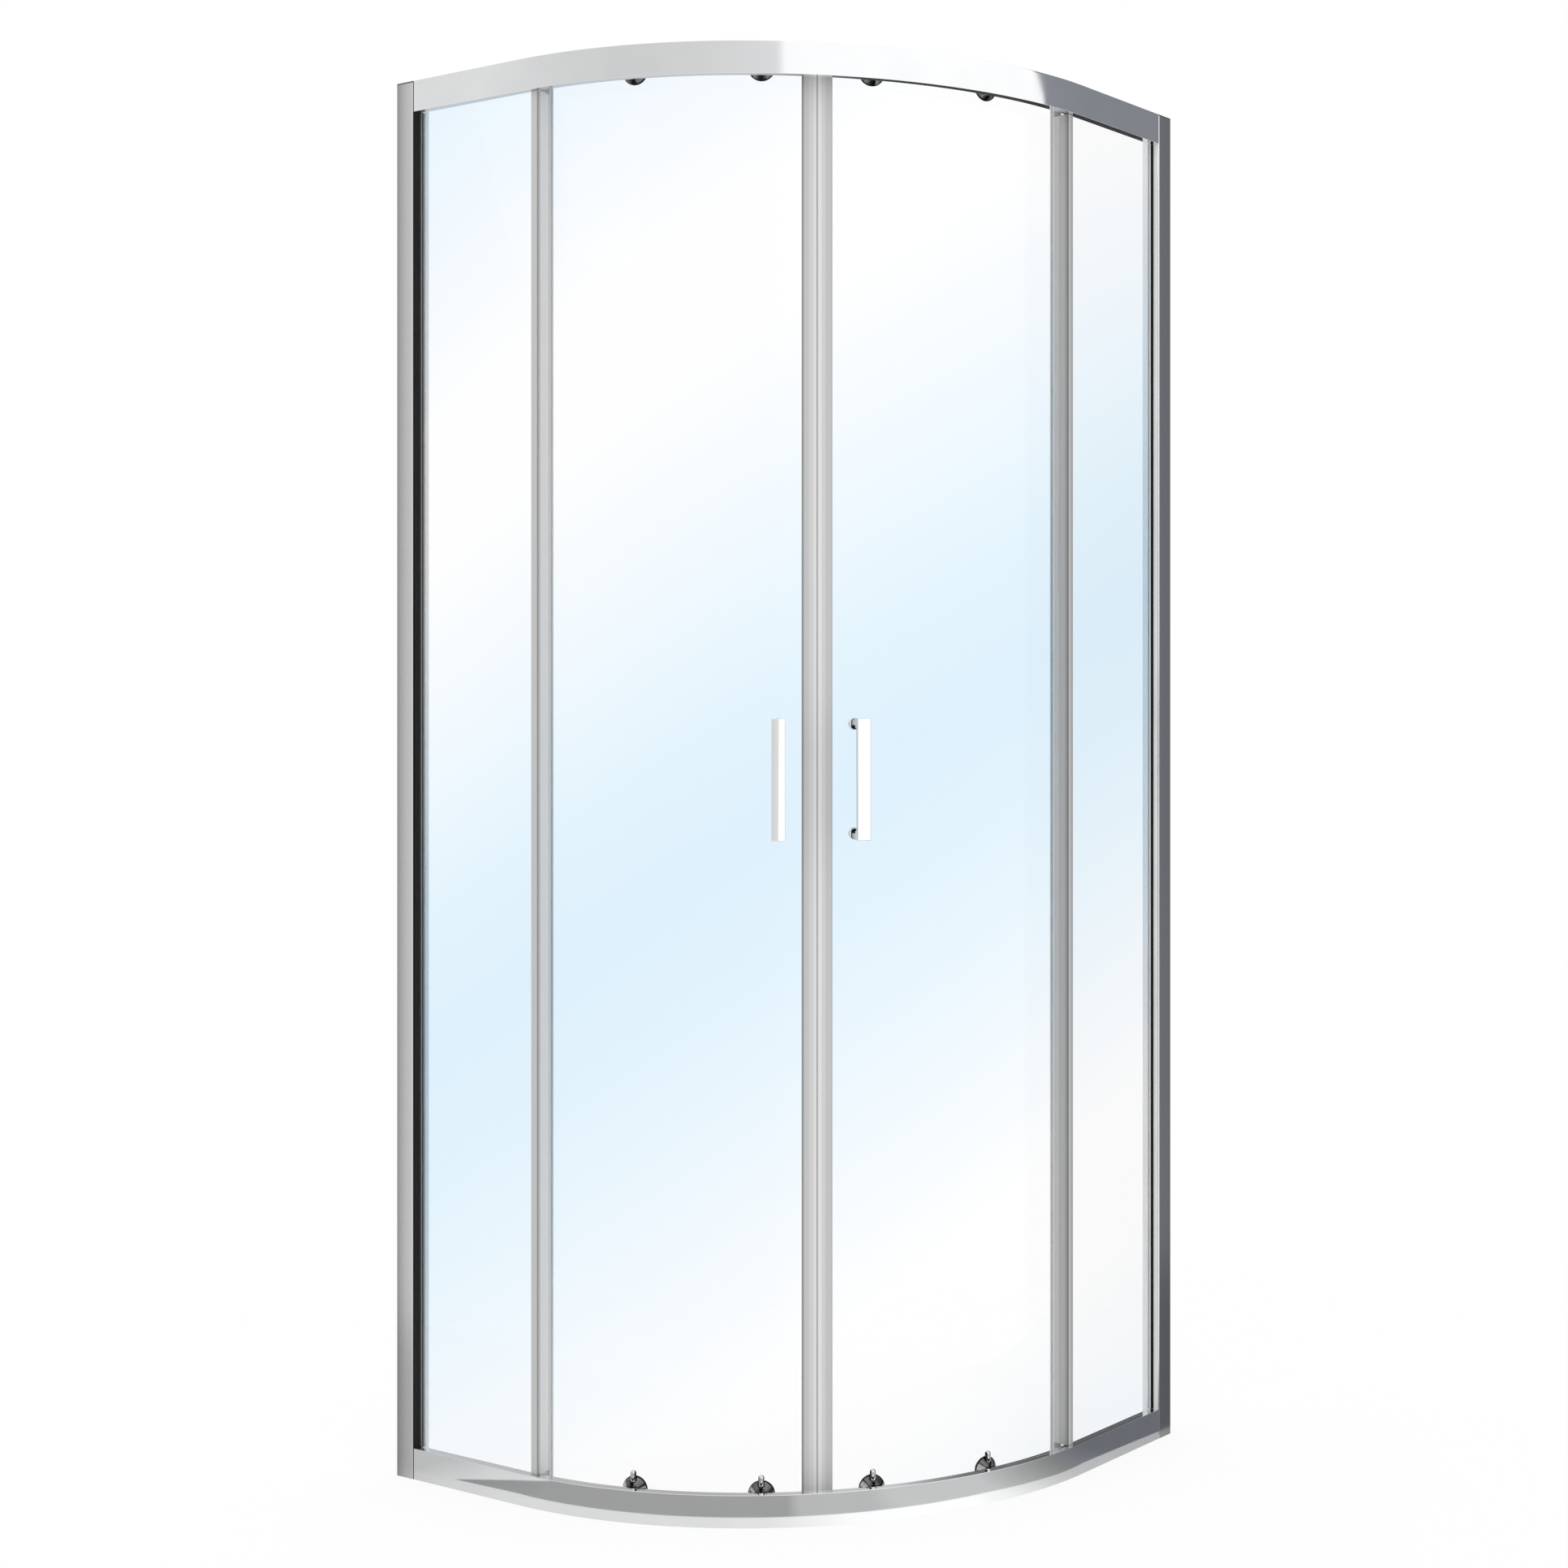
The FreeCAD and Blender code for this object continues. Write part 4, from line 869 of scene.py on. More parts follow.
def make_coil(node, name):
    """Coil in the space of a spring's solid."""
    low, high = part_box(node)
    coil_radius = (high.x - low.x) / 2 - WIRE_RADIUS
    pitch = (high.z - low.z - 2 * WIRE_RADIUS) / COIL_TURNS
    bpy.ops.object.select_all(action="DESELECT")
    bpy.ops.mesh.primitive_circle_add(
        vertices=WIRE_SIDES, radius=WIRE_RADIUS, rotation=(math.radians(90), 0, 0),
        location=(coil_radius, 0, 0))
    coil = bpy.context.object
    coil.name = name
    bpy.ops.object.transform_apply(location=True, rotation=True, scale=True)
    apply_modifier(coil, "SCREW", screw_offset=pitch, iterations=COIL_TURNS, steps=COIL_STEPS,
                   render_steps=COIL_STEPS, axis="Z")
    bpy.ops.object.mode_set(mode="EDIT")
    bpy.ops.mesh.select_all(action="SELECT")
    bpy.ops.mesh.fill_holes(sides=WIRE_SIDES)
    close_mesh()
    coil.location = ((low.x + high.x) / 2, (low.y + high.y) / 2, low.z + WIRE_RADIUS)
    bpy.ops.object.transform_apply(location=True, rotation=False, scale=False)
    smooth_shade(coil, COIL_SMOOTH_DEG)
    return coil


coils = []
for side in ("left", "right"):
    for end in ("rear", "front"):
        tail = end + "_" + side
        node = "release_spring_" + tail
        coil = make_coil(node, "coil_spring_" + tail)
        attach(coil, side + "_door")
        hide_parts(node)
        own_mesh(coil)
        coils.append(coil)
print(len(coils), "coil springs of", COIL_TURNS, "turns")

# %% [markdown]
# ## Turned and moulded pieces
# Hubs, housings, buttons, wheels and handles already have the right shape, so there is no need to model
# them again. Their meshes are loose flat triangles, which show as facets in chrome. Each gets a copy
# whose corners are merged and whose round faces are shaded smooth, and the copy stands for the original.
# Seals and gaskets touch the glass, and two faces in one place show black, so they are drawn in a little.

# %% Smooth copies
SMOOTH_ANGLE_DEG = 28
SMOOTH_NODES = (
    "top_hubs", "bottom_housings", "release_plunger", "handle_left", "handle_right", "top_wheel_",
    "bottom_wheel_", "roller_nuts", "handle_screws", "wall_profile", "fixed_edge_strip", "magnet_seal",
    "rear_seal", "post_gasket")
TIGHT_NODES = ("post_gasket", "rear_seal", "magnet_seal")
TIGHT_GAP = 0.0002

bodies = frame["record"]["behaviour"]["bodies"]
body_of_node = {node: body for body, names in bodies.items() for node in names}
slot_of_node = {row["node"]: row["material_slot"] for row in frame["record"]["subparts"]}


def smooth_copy(node):
    """Copy of a node with merged corners and smooth round faces."""
    piece = copy_of(nodes[node], "smooth_" + node)
    bpy.ops.object.mode_set(mode="EDIT")
    bpy.ops.mesh.select_all(action="SELECT")
    bpy.ops.mesh.remove_doubles(threshold=NEAR)
    if node.startswith(TIGHT_NODES):
        bpy.ops.transform.shrink_fatten(value=-TIGHT_GAP)
    bpy.ops.object.mode_set(mode="OBJECT")
    smooth_shade(piece, SMOOTH_ANGLE_DEG)
    flatten_shading(piece)
    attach(piece, body_of_node[node])
    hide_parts(node)
    return piece


smooth_pieces = {node: smooth_copy(node) for node in sorted(nodes) if node.startswith(SMOOTH_NODES)}
print(len(smooth_pieces), "smooth copies")

# %% [markdown]
# ## Marks on the rollers
# The painted light and dark of a hub, which stand in for its reflections, turn about its own axis, but
# the two upper hubs of a door are one mesh, and Object coordinates start at the middle of the whole
# enclosure. Unwrapping each hub would help. It is simpler to let the mesh carry the values: for each
# corner, how far it lies beside and above its axis.

# %% Places on the rollers
ROLLER_NODES = ("top_hubs", "bottom_housings", "release_plunger")
ALL_ROLLER_ANGLES_DEG = ROLLER_ANGLES_DEG + tuple(90 - degrees for degrees in ROLLER_ANGLES_DEG)


def mark_rollers(piece):
    """Keep each corner's place beside and above the axis of its own roller, for the finish."""
    beside = piece.data.attributes.new("beside", "FLOAT", "POINT")
    above = piece.data.attributes.new("above", "FLOAT", "POINT")
    for corner in piece.data.vertices:
        offset = corner.co - curve_middle
        degrees = math.degrees(math.atan2(offset.x, -offset.y))
        own = min(ALL_ROLLER_ANGLES_DEG, key=lambda angle: abs(angle - degrees))
        level = min(hub_heights, key=lambda height: abs(height - corner.co.z))
        beside.data[corner.index].value = math.radians(degrees - own) * PANE_OUTER
        above.data[corner.index].value = corner.co.z - level


roller_pieces = [piece for node, piece in smooth_pieces.items() if node.startswith(ROLLER_NODES)]
for piece in roller_pieces:
    mark_rollers(piece)
print(len(roller_pieces), "pieces of the rollers marked")

# %% [markdown]
# ## Helpers for finishes
# Each finish is a small node tree on Object coordinates. A picture could be laid on the pieces instead, but
# each piece would have to be unwrapped for it. Nodes need no picture, and their pattern stays on its piece
# when a door moves.

# %% Helpers for finishes
def new_finish(name, metallic=0.0, ior=1.5):
    """Material with its shader and the coordinates of the piece."""
    material = bpy.data.materials.new(name)
    material.use_nodes = True
    tree = material.node_tree
    shader = tree.nodes["Principled BSDF"]
    shader.inputs["Metallic"].default_value = metallic
    shader.inputs["IOR"].default_value = ior
    coords = tree.nodes.new("ShaderNodeTexCoord").outputs["Object"]
    return material, tree, shader, coords


def noise_node(tree, coords, scale, detail=2.0, stretch=(1, 1, 1)):
    """Noise on the piece, stretched along its axes if asked."""
    mapping = tree.nodes.new("ShaderNodeMapping")
    mapping.inputs["Scale"].default_value = stretch
    noise = tree.nodes.new("ShaderNodeTexNoise")
    noise.inputs["Scale"].default_value = scale
    noise.inputs["Detail"].default_value = detail
    tree.links.new(coords, mapping.inputs["Vector"])
    tree.links.new(mapping.outputs["Vector"], noise.inputs["Vector"])
    return noise.outputs["Fac"]


def set_range(tree, value, ends, socket):
    """Drive a shader value between two ends."""
    low, high = ends
    span = tree.nodes.new("ShaderNodeMapRange")
    span.inputs["To Min"].default_value = low
    span.inputs["To Max"].default_value = high
    tree.links.new(value, span.inputs["Value"])
    tree.links.new(span.outputs["Result"], socket)


def add_grain(tree, shader, height, depth):
    """Fine relief from a height pattern, its depth in metres."""
    bump = tree.nodes.new("ShaderNodeBump")
    bump.inputs["Distance"].default_value = depth
    tree.links.new(height, bump.inputs["Height"])
    tree.links.new(bump.outputs["Normal"], shader.inputs["Normal"])


print("made new_finish, noise_node, set_range and add_grain")

# %% [markdown]
# ## Polished aluminium
# The rails are polished aluminium. One flat colour would be simplest, but even a clean new surface is
# never quite even. A soft noise varies colour and gloss a little, and a fine one gives the grain that
# drawing, moulding or polishing leaves. One function makes every finish of this kind.

# %% Polished aluminium
CLOUD_SCALE = 30.0
GRAIN_SCALE = 900.0
GRAIN_DEPTH = 0.00002
CLOUD_ENDS = (0.35, 0.65)


def even_finish(name, dark, light, roughness, metallic=0.0, scale=CLOUD_SCALE,
                grain_scale=GRAIN_SCALE, grain_depth=GRAIN_DEPTH):
    """Finish of one colour with slight cloudiness and a fine grain."""
    material, tree, shader, coords = new_finish(name, metallic)
    cloud = noise_node(tree, coords, scale)
    colour = ramp_node(tree, cloud, list(zip(CLOUD_ENDS, (dark, light))))
    tree.links.new(colour, shader.inputs["Base Color"])
    set_range(tree, cloud, roughness, shader.inputs["Roughness"])
    add_grain(tree, shader, noise_node(tree, coords, grain_scale), grain_depth)
    return material


finishes = {}
finishes["polished_aluminium"] = even_finish(
    "polished_aluminium", dark=(0.90, 0.91, 0.92), light=(0.94, 0.945, 0.95), roughness=(0.05, 0.08),
    metallic=1.0, scale=12.0, grain_scale=700.0, grain_depth=0.000002)
print("finishes:", ", ".join(finishes))

# %% [markdown]
# ## Chrome of the hubs
# The hubs of the rollers are plated with chrome, which takes its tones from what it mirrors. They are small
# and mirror the glass, the rail and each other in light and dark facets. Cards that show in one hub only
# would have to float right beside it. So a ramp round each roller's axis paints these reflections into the
# colour as light and dark facets, and a hub is black at the rim where it sits on the glass. The round nuts
# inside the glass keep an even chrome.

# %% Chrome of the hubs
HUB_RIM_START = 0.5135
HUB_RIM_WIDTH = 0.0035
# painted reflections: the light and dark the chrome would mirror, set as colour round each roller's axis
HUB_PAINTED_REFLECTIONS = [
    (0.0, 0.30), (0.10, 0.32), (0.13, 0.03), (0.18, 0.03), (0.22, 0.14), (0.40, 0.22), (0.44, 0.02),
    (0.56, 0.02), (0.60, 0.12), (0.72, 0.20), (0.76, 0.04), (0.80, 0.50), (0.94, 0.62), (1.0, 0.30)]
HUB_DARKEST = 0.012
HUB_ROUGHNESS = (0.03, 0.10)
ROLLER_CLOUD_SCALE = 300.0


def attribute_node(tree, name):
    """Value that the corners of a piece carry."""
    node = tree.nodes.new("ShaderNodeAttribute")
    node.attribute_name = name
    return node.outputs["Fac"]


def grey_stops(stops):
    """Stops of a ramp with one grey value each."""
    return [(place, (value, value, value)) for place, value in stops]


def make_roller_chrome():
    """Dark chrome of the hubs: painted reflections as light and dark facets round the cone, and a black rim
    on the glass.
    """
    material, tree, shader, coords = new_finish("roller_chrome", 1.0)
    above = math_node(tree, "ABSOLUTE", attribute_node(tree, "above"))
    turn = math_node(tree, "ARCTAN2", above, attribute_node(tree, "beside"))
    painted_reflections = ramp_node(tree, math_node(tree, "DIVIDE", turn, math.pi), grey_stops(HUB_PAINTED_REFLECTIONS))
    rim_end = HUB_RIM_START + HUB_RIM_WIDTH
    off_rim = math_node(tree, "GREATER_THAN", round_curve(tree, coords)["radius"], rim_end)
    shade = math_node(tree, "MAXIMUM", math_node(tree, "MULTIPLY", painted_reflections, off_rim), HUB_DARKEST)
    tree.links.new(shade, shader.inputs["Base Color"])
    cloud = noise_node(tree, coords, ROLLER_CLOUD_SCALE)
    set_range(tree, cloud, HUB_ROUGHNESS, shader.inputs["Roughness"])
    return material


finishes["chrome_plate"] = even_finish(
    "chrome_plate", dark=(0.91, 0.92, 0.93), light=(0.95, 0.955, 0.96), roughness=(0.02, 0.05),
    metallic=1.0, scale=40.0, grain_scale=500.0, grain_depth=0.000001)
roller_chrome = make_roller_chrome()
print("hub chrome with", len(HUB_PAINTED_REFLECTIONS), "stops round the axis")

# %% [markdown]
# ## Chrome of the buttons
# The release buttons are slim upright stems of chrome. A round polished bar between dark cards would mirror
# them as dark stripes at both sides and a bright middle. The cards would show in the rails as well, so a ramp
# across the stem paints these reflections into the colour.

# %% Chrome of the buttons
BUTTON_WIDTH = 0.0082
# painted reflections across the stem, in place of dark cards beside it
BUTTON_PAINTED_REFLECTIONS = [
    (0.0, 0.03), (0.15, 0.04), (0.22, 0.70), (0.40, 0.96), (0.48, 0.50), (0.58, 0.90), (0.78, 0.75),
    (0.85, 0.05), (1.0, 0.03)]
BUTTON_ROUGHNESS = (0.04, 0.10)


def make_button_chrome():
    """Chrome of the release buttons, with painted reflections: dark at both sides of the stem, bright in the
    middle.
    """
    material, tree, shader, coords = new_finish("button_chrome", 1.0)
    share = span_share(tree, attribute_node(tree, "beside"), -BUTTON_WIDTH / 2, BUTTON_WIDTH)
    tree.links.new(ramp_node(tree, share, grey_stops(BUTTON_PAINTED_REFLECTIONS)), shader.inputs["Base Color"])
    cloud = noise_node(tree, coords, ROLLER_CLOUD_SCALE)
    set_range(tree, cloud, BUTTON_ROUGHNESS, shader.inputs["Roughness"])
    return material


button_chrome = make_button_chrome()
print("button chrome with", len(BUTTON_PAINTED_REFLECTIONS), "stops across the stem")

# %% [markdown]
# ## Chrome of the handles
# Each handle is a bright bar on two short feet. Beside the glass the feet would mirror light and dark, so a
# ramp runs outwards from it with painted reflections and shade: a bright collar, a dark foot and the bright
# bar, and the inner faces of the feet painted dark. Separate materials would need the mesh cut. Metal turns
# pale at a flat angle whatever its colour, so the feet are a dull dark surface instead, which holds their
# painted shade.

# %% Chrome of the handles
HANDLE_FOOT_START = 0.515
HANDLE_DEPTH = 0.054
HANDLE_FOOT_MIDDLE = 0.0715
# painted reflections and shade on the feet: bright collar, dark band, bright bar; the inner faces painted
# darker
FOOT_OUTER_PAINTED_SHADES = [
    (0.0, 0.92), (0.20, 0.92), (0.24, 0.02), (0.32, 0.02), (0.36, 0.42), (0.66, 0.55), (0.70, 0.94),
    (1.0, 0.95)]
FOOT_INNER_PAINTED_SHADES = [(0.0, 0.92), (0.20, 0.92), (0.24, 0.01), (0.66, 0.01), (0.70, 0.94), (1.0, 0.95)]
FOOT_METAL = [(0.0, 0.0), (0.66, 0.0), (0.70, 1.0), (1.0, 1.0)]
FOOT_GLOSS = 0.0
HANDLE_CLOUD_SCALE = 60.0
HANDLE_ROUGHNESS = (0.02, 0.05)


def make_handle_chrome():
    """Chrome of the bar handles, with painted reflections and shade on the short feet beside the glass."""
    material, tree, shader, coords = new_finish("handle_chrome", 1.0)
    shader.inputs["Specular IOR Level"].default_value = FOOT_GLOSS
    place = round_curve(tree, coords)
    share = span_share(tree, place["radius"], HANDLE_FOOT_START, HANDLE_DEPTH)
    middle = (handle_low.z + handle_high.z) / 2
    off_middle = math_node(tree, "ABSOLUTE", math_node(tree, "SUBTRACT", place["height"], middle))
    inner = math_node(tree, "LESS_THAN", off_middle, HANDLE_FOOT_MIDDLE)
    painted_shades = mix_colours(tree, inner, ramp_node(tree, share, grey_stops(FOOT_OUTER_PAINTED_SHADES)),
                         ramp_node(tree, share, grey_stops(FOOT_INNER_PAINTED_SHADES)))
    tree.links.new(painted_shades, shader.inputs["Base Color"])
    tree.links.new(ramp_node(tree, share, grey_stops(FOOT_METAL)), shader.inputs["Metallic"])
    cloud = noise_node(tree, coords, HANDLE_CLOUD_SCALE)
    set_range(tree, cloud, HANDLE_ROUGHNESS, shader.inputs["Roughness"])
    return material


handle_chrome = make_handle_chrome()
print("handle chrome over a depth of", HANDLE_DEPTH, "m")

# %% [markdown]
# ## Steel
# Screws and springs are plain steel, greyer and duller than chrome. They are small and mostly hidden, so
# the even finish is enough, with a fine cloud that suits their size.

# %% Steel
finishes["screw_steel"] = even_finish(
    "screw_steel", dark=(0.55, 0.56, 0.57), light=(0.68, 0.69, 0.70), roughness=(0.22, 0.34),
    metallic=1.0, scale=200.0)
finishes["spring_steel"] = even_finish(
    "spring_steel", dark=(0.48, 0.49, 0.50), light=(0.62, 0.63, 0.64), roughness=(0.2, 0.3),
    metallic=1.0, scale=400.0)
print("finishes:", ", ".join(finishes))

# %% [markdown]
# ## Rubber and plastic
# Door stops and setting strips are rubber, and so are the strips of magnet in the seals. The wheels are
# nylon. The sleeves in the glass holes and the pads under the handles are clear plastic, and the caps grey
# plastic. No real rubber is quite black and no nylon quite white, and pure black or white would hide the
# shape. So each has a narrow range of tones and a soft gloss, made by the same function as the metal.

# %% Finishes of rubber and plastic
finishes["black_rubber"] = even_finish(
    "black_rubber", dark=(0.012, 0.011, 0.010), light=(0.022, 0.020, 0.019), roughness=(0.38, 0.5))
finishes["magnet_rubber"] = even_finish(
    "magnet_rubber", dark=(0.04, 0.034, 0.03), light=(0.06, 0.05, 0.045), roughness=(0.5, 0.65))
finishes["clear_plastic"] = even_finish(
    "clear_plastic", dark=(0.70, 0.72, 0.73), light=(0.80, 0.82, 0.83), roughness=(0.18, 0.28))
finishes["white_nylon"] = even_finish(
    "white_nylon", dark=(0.70, 0.70, 0.68), light=(0.80, 0.80, 0.78), roughness=(0.3, 0.45))
finishes["grey_plastic"] = even_finish(
    "cap_plastic", dark=(0.07, 0.072, 0.076), light=(0.10, 0.102, 0.106), roughness=(0.35, 0.5))
print("finishes:", ", ".join(finishes))

# %% [markdown]
# ## Wall profiles
# The upright profiles are the same aluminium as the rails with a satin face. A picture of satin metal would
# have to be unwrapped on to them. Here a fine noise gives the speckle of grain and tone, and a ramp along
# the run paints shade: the face grows lighter from the wall towards a painted highlight at its free edge.
# The two faces look to different sides of the room, so each has its own painted tones: beyond the highlight
# the lip is painted dark as a reflection on the left and light on the right.

# %% Satin profile
PROFILE_FACE = 0.034
PROFILE_SHARE = 0.75
SPECKLE_SHARE = 0.2
SPECKLE_SCALE = 520.0
SPECKLE_DETAIL = 3.0
SATIN_ROUGHNESS = (0.16, 0.26)
# painted shade: the face grows lighter from the wall to the free edge, each side with its own tones
LEFT_SATIN_PAINTED_SHADES = [(0.08, 0.36), (0.28, 0.52), (0.50, 0.66), (0.80, 0.76)]
RIGHT_SATIN_PAINTED_SHADES = [(0.0, 0.56), (1.0, 0.60)]
# painted highlight along the free edge; beyond it the lip is painted dark on the left as a reflection, light
# on the right
PAINTED_HIGHLIGHT_START = 0.0312
PROFILE_LIP_START = 0.0327
PAINTED_EDGE_HIGHLIGHT = 0.94
PAINTED_DARK_REFLECTION = 0.03


def make_satin(name, painted_shades, painted_lip):
    """Speckled satin aluminium, with painted shade from the wall and a painted highlight at the free edge."""
    material, tree, shader, coords = new_finish(name, 1.0)
    run = round_curve(tree, coords)["run"]
    speckle = noise_node(tree, coords, SPECKLE_SCALE, SPECKLE_DETAIL)
    share = math_node(tree, "ADD", math_node(tree, "MULTIPLY", run, PROFILE_SHARE / PROFILE_FACE),
                      math_node(tree, "MULTIPLY", speckle, SPECKLE_SHARE))
    satin = ramp_node(tree, share, grey_stops(painted_shades))
    edge_width = PROFILE_FACE - PAINTED_HIGHLIGHT_START
    edge_run = span_share(tree, run, PAINTED_HIGHLIGHT_START, edge_width)
    lip_share = (PROFILE_LIP_START - PAINTED_HIGHLIGHT_START) / edge_width
    bright = ramp_node(tree, edge_run, grey_stops(
        [(0.0, PAINTED_EDGE_HIGHLIGHT), (lip_share, PAINTED_EDGE_HIGHLIGHT), (lip_share + NEAR, painted_lip), (1.0, painted_lip)]))
    edge = math_node(tree, "GREATER_THAN", run, PAINTED_HIGHLIGHT_START)
    tree.links.new(mix_colours(tree, edge, satin, bright), shader.inputs["Base Color"])
    set_range(tree, speckle, SATIN_ROUGHNESS, shader.inputs["Roughness"])
    add_grain(tree, shader, speckle, GRAIN_DEPTH)
    return material


satin_left = make_satin("satin_profile_left", LEFT_SATIN_PAINTED_SHADES, PAINTED_DARK_REFLECTION)
satin_right = make_satin("satin_profile_right", RIGHT_SATIN_PAINTED_SHADES, PAINTED_EDGE_HIGHLIGHT)
print("satin faces of", PROFILE_FACE, "m, bright from", PAINTED_HIGHLIGHT_START, "m")

# %% [markdown]
# ## Glass posts
# A post is a drawn channel that holds the upright edge of the fixed glass. It shows twice: in front of the
# glass beside the profile, and through the glass behind it. Behind the glass it is painted pale and matt, as
# painted light against the shade there; in front it is painted dark as a reflection on the left and light
# on the right. Two materials would need the mesh cut in two. One material that blends with the distance
# from the curve's axis leaves the mesh whole.

# %% Glass posts
POST_REAR = 0.534
POST_FRONT = 0.538
POST_GLOSS = 0.1
POST_CLOUD = 1.1
POST_CLOUD_SCALE = 90.0
POST_CLOUD_STRETCH = (1, 1, 0.1)
POST_CLOUD_ENDS = (0.3, 0.7)
POST_ROUGHNESS = (0.10, 0.18)
# painted light: pale behind the glass, and light on the right post in front, where the left one is painted
# dark
POST_REAR_PAINTED_LIGHT = (0.95, 0.99)
RIGHT_POST_PAINTED_LIGHT = 0.90


def make_post(name, painted_wall):
    """Post of drawn aluminium: painted pale and matt behind the glass as painted light, with a painted tone
    for its side in front of it.
    """
    material, tree, shader, coords = new_finish(name)
    shader.inputs["Specular IOR Level"].default_value = POST_GLOSS
    radius = round_curve(tree, coords)["radius"]
    share = span_share(tree, radius, POST_REAR, POST_FRONT - POST_REAR)
    cloud = noise_node(tree, coords, POST_CLOUD_SCALE, stretch=POST_CLOUD_STRETCH)
    rear, front = [ramp_node(tree, cloud, grey_stops(zip(POST_CLOUD_ENDS, painted_shades)))
                   for painted_shades in (POST_REAR_PAINTED_LIGHT, (painted_wall, painted_wall * POST_CLOUD))]
    tree.links.new(mix_colours(tree, share, rear, front), shader.inputs["Base Color"])
    set_range(tree, cloud, POST_ROUGHNESS, shader.inputs["Roughness"])
    return material


post_left = make_post("post_left", PAINTED_DARK_REFLECTION)
post_right = make_post("post_right", RIGHT_POST_PAINTED_LIGHT)
print("posts pale behind", POST_REAR, "m from the curve's axis")

# %% [markdown]
# ## Gaskets
# A gasket of rubber closes the gap between post and glass with a lip on both faces of the glass. Its tones
# are listed by the run from the wall: the black of the rubber, and painted light and shade on the lips. On
# the left the lip is painted dark as a reflection, with one painted highlight line; on the right it is
# painted light; behind the glass it is painted pale. The lip behind the glass lies in the shade of the one
# in front of it, and a paler colour alone stays too dark there. Soft thin rubber lets some light soak
# through, so the shader's subsurface share does the same here and on the rear seals of the doors.

# %% Gaskets
GASKET_START = 0.033
GASKET_LENGTH = 0.010
GASKET_MIDDLE = 0.5365
GASKET_GLOSS = 0.2
GASKET_CLOUD_SCALE = 200.0
SOFT_ROUGHNESS = (0.35, 0.5)
# black rubber, then painted light and shade on the lips: dark on the left with a highlight line, light on the
# right, pale behind
LEFT_RUBBER_AND_PAINTED_SHADE = [(0.034, 45), (0.0375, 50), (0.0378, 155), (0.0390, 155), (0.0393, 70), (0.0425, 85)]
RIGHT_RUBBER_AND_PAINTED_LIGHT = [(0.034, 2), (0.0395, 2), (0.0400, 110), (0.0406, 246), (0.0425, 252)]
REAR_LIP_PAINTED_LIGHT = [(0.034, 230), (0.0350, 252), (0.0425, 255)]
SOFT_SHARE = 0.9
LIP_DEPTH = 0.001


def let_light_through(shader, depth):
    """Let light soak through a thin soft wall, as through milky vinyl or a rubber lip."""
    shader.inputs["Subsurface Weight"].default_value = SOFT_SHARE
    shader.inputs["Subsurface Radius"].default_value = (1.0, 1.0, 1.0)
    shader.inputs["Subsurface Scale"].default_value = depth


def span_stops(tones, start, length):
    """Ramp stops for tones that are listed by their place on a way."""
    return [((place - start) / length, tone(shade)) for place, shade in tones]


def make_gasket(name, painted_lip_tones):
    """Gasket of black rubber with painted light and shade on its lips on both faces of the glass."""
    material, tree, shader, coords = new_finish(name)
    shader.inputs["Specular IOR Level"].default_value = GASKET_GLOSS
    let_light_through(shader, LIP_DEPTH)
    place = round_curve(tree, coords)
    share = span_share(tree, place["run"], GASKET_START, GASKET_LENGTH)
    lips = [ramp_node(tree, share, span_stops(tones, GASKET_START, GASKET_LENGTH))
            for tones in (painted_lip_tones, REAR_LIP_PAINTED_LIGHT)]
    behind = math_node(tree, "LESS_THAN", place["radius"], GASKET_MIDDLE)
    tree.links.new(mix_colours(tree, behind, *lips), shader.inputs["Base Color"])
    cloud = noise_node(tree, coords, GASKET_CLOUD_SCALE)
    set_range(tree, cloud, SOFT_ROUGHNESS, shader.inputs["Roughness"])
    return material


gasket_left = make_gasket("gasket_left", LEFT_RUBBER_AND_PAINTED_SHADE)
gasket_right = make_gasket("gasket_right", RIGHT_RUBBER_AND_PAINTED_LIGHT)
print("gaskets with lips", GASKET_LENGTH, "m wide")

# %% [markdown]
# ## Glass
# Clear safety glass shows as faint blue where it catches the sky: soft slanting bands of pale blue over
# white. A large blue card could be mirrored in it, but clear glass mirrors only a few hundredths of the
# light that falls on it. So the bands are painted reflections of the sky: a colour ramp along a slanting
# direction in the piece's own coordinates. For shadow rays the glass is clear, so the pieces behind it stay
# lit.

# %% Clear glass
GLASS_IOR = 1.2
BAND_SLOPE = 0.65
BAND_RIGHT = (0.826, 0.564)
BAND_LOW = -0.4
BAND_HIGH = 2.6
BAND_DRIFT = 0.06
BAND_DRIFT_SCALE = 1.7
# painted reflections of the sky on the glass
PAINTED_SKY_BANDS = [
    (-0.40, (246, 252, 255)), (-0.20, (250, 253, 255)), (0.0, 255), (0.20, 255), (0.55, (236, 247, 254)),
    (0.75, (226, 243, 253)), (0.92, (223, 241, 253)), (1.10, (228, 244, 253)), (1.30, (240, 249, 255)),
    (1.60, 255), (1.78, 255), (2.10, (239, 248, 255)), (2.40, (226, 243, 253)), (2.60, (232, 246, 254))]


